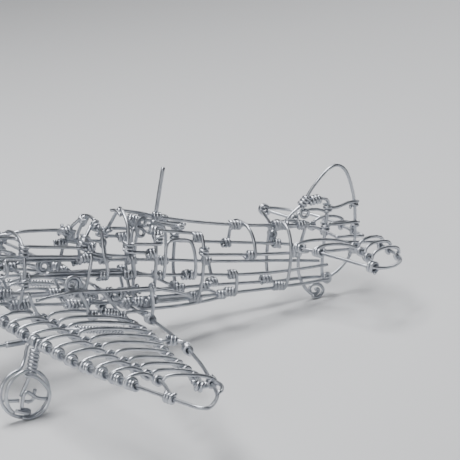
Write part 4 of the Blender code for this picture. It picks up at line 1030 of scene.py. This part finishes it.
# %% Legs and wheels
LEG_OUT = 50.0
HANG_OUT = 42.4
LEG_POINTS = [(58.4, 50.8, -26.4), (57.4, 51.8, -30.8), (56.3, 52.4, -34.0), (54.9, 52.4, -38.1),
              (53.8, 52.4, -40.8), (52.9, 52.4, -43.2)]
FOOT_POINTS = [(50.2, 54.6, -48.7), (52.1, 54.8, -49.2), (54.0, 54.9, -49.7), (55.6, 54.8, -50.3),
               (56.6, 54.2, -50.0), (56.8, 53.4, -49.2), (55.0, 52.9, -49.1), (53.2, 52.6, -48.6)]
HANGING_POINTS = [(58.4, 43.4, -23.5), (57.2, 44.6, -27.1), (55.5, 46.4, -30.4), (53.8, 48.2, -31.8)]
COIL_END_POINTS = [(53.0, 54.2, -33.2), (55.0, 54.8, -33.4), (57.4, 54.6, -33.6), (60.4, 54.6, -35.5),
                   (63.4, 54.6, -38.4)]
FRONT_BOW_START = (55.2, 53.6, -31.4)
NEAR_RING_OUT = 54.6
FAR_RING_OUT = 51.3
FAR_RING_LEAN = 1.65
RING_STEP = 12.0
HOOK_STEPS = 11
LEG_COIL_TURNS = 7.6
FAR_RING_CENTRE = (55.2, -42.2)
FAR_RING_RADII = (11.35, 10.3)
FRONT_BOW_CENTRE = (55.6, -41.3)
FRONT_BOW_RADII = (10.5, 10.5)
AFT_BOW_CENTRE = (56.2, -43.2)
AFT_BOW_RADII = (9.3, 9.3)
STRUT_POINTS = [(65.2, 53.3, -44.7), (61.7, 54.2, -44.1), (59.1, 54.2, -43.3), (56.8, 54.2, -41.7),
                (54.9, 54.3, -40.7), (53.6, 54.2, -41.9), (53.2, 54.1, -43.9), (53.1, 53.9, -46.0),
                (53.2, 53.7, -48.4)]
STUB_POINTS = [(59.4, 52.5, -40.2), (59.0, 52.5, -42.4), (59.1, 52.4, -44.2), (57.9, 52.5, -45.5),
               (56.6, 52.6, -45.8), (55.2, 52.8, -45.3)]
FRONT_SPOKE = [(44.8, 53.0, -44.2), (48.4, 53.6, -44.5), (51.6, 53.6, -44.6)]


def ring_arc(centre, radii, first, last, out, lean=0.0):
    """An arc of a wheel's ring between two angles, measured from aft towards up."""
    count = round(abs(last - first) / RING_STEP)
    arc = []
    for step in range(count + 1):
        angle = math.radians(first + (last - first) * step / count)
        arc.append((centre[0] + radii[0] * math.cos(angle), out - lean * math.sin(angle),
                    centre[1] + radii[1] * math.sin(angle)))
    return arc


for name, side in SIDES:
    # the leg: hooked over the leading edge, then down through its coil to the hub
    edge = edge_point(LEG_OUT, leading_edge)
    hook = []
    for step in range(HOOK_STEPS + 1):
        angle = math.radians(-80) + math.radians(260) * step / HOOK_STEPS
        slide = -1.4 + 1.4 * step / HOOK_STEPS
        hook.append(edge + Vector((WIRE * math.cos(angle), slide, WIRE * math.sin(angle))))
    leg_route = flowing(hook, pace=1.0)[:-1] + flowing([hook[-1]] + LEG_POINTS)
    leg_coil = coil((58.9, 50.2, -22.9), (56.9, 52.4, -34.2), LEG_COIL_TURNS, WIRE, facing=(1, 0, 0))
    bend_piece("leg_wire_" + name, [on_side(leg_route, side), on_side(flowing(FOOT_POINTS, pace=1.0), side)],
               ["gear_leg_" + name])
    bend_piece("leg_coil_" + name, [on_side(leg_coil, side)], ["gear_leg_" + name], material=handled_wire)

    # the far ring is one length with a wire that hangs from the leading edge
    hang = winding(edge_point(HANG_OUT, leading_edge), (0.044, 1, 0.03), (1, 0, 0), 1.4, -1)[::-1]
    far_ring = ring_arc(FAR_RING_CENTRE, FAR_RING_RADII, 107, 437, FAR_RING_OUT, FAR_RING_LEAN)
    wheel = [flowing(hang + [Vector(point) for point in HANGING_POINTS + far_ring])]
    # the near ring: a front bow and an aft bow, both starting at the leg's coil
    front_bow = [FRONT_BOW_START] + ring_arc(FRONT_BOW_CENTRE, FRONT_BOW_RADII, 107, 233, NEAR_RING_OUT)
    aft_bow = COIL_END_POINTS + ring_arc(AFT_BOW_CENTRE, AFT_BOW_RADII, 12, -107, NEAR_RING_OUT)
    for points in (front_bow, aft_bow, STRUT_POINTS, STUB_POINTS, FRONT_SPOKE):
        wheel.append(flowing(points))
    bend_piece("wheel_wire_" + name, [on_side(route, side) for route in wheel], ["wheel_" + name])
print("gear done,", triangle_total, "triangles")

# %% [markdown]
# ## Stage, light and camera
# The photograph was taken with a long lens from behind the port wing and a little above. A large
# soft panel overhead gives each wire a white line along its top, and two smaller ones fill in
# from the sides. The floor is plain and pale, and the surroundings are dim, so that the metal
# has something dark to mirror.

# %% Floor and lights
floor_shape = bmesh.new()
bmesh.ops.create_grid(floor_shape, x_segments=1, y_segments=1, size=4.0)
floor_mesh = bpy.data.meshes.new("floor")
floor_shape.to_mesh(floor_mesh)
floor_shape.free()
floor = bpy.data.objects.new("floor", floor_mesh)
bpy.context.collection.objects.link(floor)
paper = bpy.data.materials.new("pale matt paper")
paper.use_nodes = True
paper.node_tree.nodes["Principled BSDF"].inputs["Base Color"].default_value = linear("#DADBDD")
paper.node_tree.nodes["Principled BSDF"].inputs["Roughness"].default_value = 0.85
floor_mesh.materials.append(paper)

world = bpy.data.worlds.new("studio")
bpy.context.scene.world = world
world.use_nodes = True
world.node_tree.nodes["Background"].inputs["Color"].default_value = linear("#80838A")
world.node_tree.nodes["Background"].inputs["Strength"].default_value = 0.16


def soft_panel(name, place, target, size, power):
    """A large soft area light that faces a point."""
    lamp = bpy.data.lights.new(name, "AREA")
    lamp.shape = "RECTANGLE"
    lamp.size, lamp.size_y = size
    lamp.energy = power
    item = bpy.data.objects.new(name, lamp)
    item.location = place
    item.rotation_euler = (Vector(target) - Vector(place)).to_track_quat("-Z", "Y").to_euler()
    bpy.context.collection.objects.link(item)


MODEL_MIDDLE = (0, 0, 0.03)
soft_panel("overhead", (-0.1, 0.15, 0.95), MODEL_MIDDLE, (0.6, 0.45), 14.0)
soft_panel("left front", (-0.9, -0.7, 0.55), MODEL_MIDDLE, (0.4, 0.4), 5.0)
soft_panel("right back", (0.9, 0.5, 0.5), MODEL_MIDDLE, (0.4, 0.4), 2.5)

# %% Camera
CAMERA_AZIMUTH = -30.03
CAMERA_ELEVATION = 12.77
CAMERA_ROLL = 5.69
CAMERA_DISTANCE = 953.7
CAMERA_TARGET = Vector((178.49, 0.0, 14.52))
CAMERA_LENS = 156.6

azimuth, elevation, roll = (math.radians(value) for value in (CAMERA_AZIMUTH, CAMERA_ELEVATION, CAMERA_ROLL))
back = Vector((math.sin(azimuth) * math.cos(elevation), -math.cos(azimuth) * math.cos(elevation),
               math.sin(elevation)))
right = Vector((math.cos(azimuth), math.sin(azimuth), 0))
up = back.cross(right)
right, up = right * math.cos(roll) + up * math.sin(roll), up * math.cos(roll) - right * math.sin(roll)
camera_data = bpy.data.cameras.new("camera")
camera_data.lens = CAMERA_LENS
camera_data.sensor_width = 36.0
camera_data.clip_start = 0.01
camera = bpy.data.objects.new("camera", camera_data)
bpy.context.collection.objects.link(camera)
facing = Matrix((right, up, back)).transposed().to_4x4()
place = stand @ (CAMERA_TARGET + back * CAMERA_DISTANCE)
camera.matrix_world = Matrix.Translation(place) @ turn @ facing
bpy.context.scene.camera = camera
print("camera at", tuple(round(value, 3) for value in place))

# %% Triangle count
print("total triangles:", triangle_total)
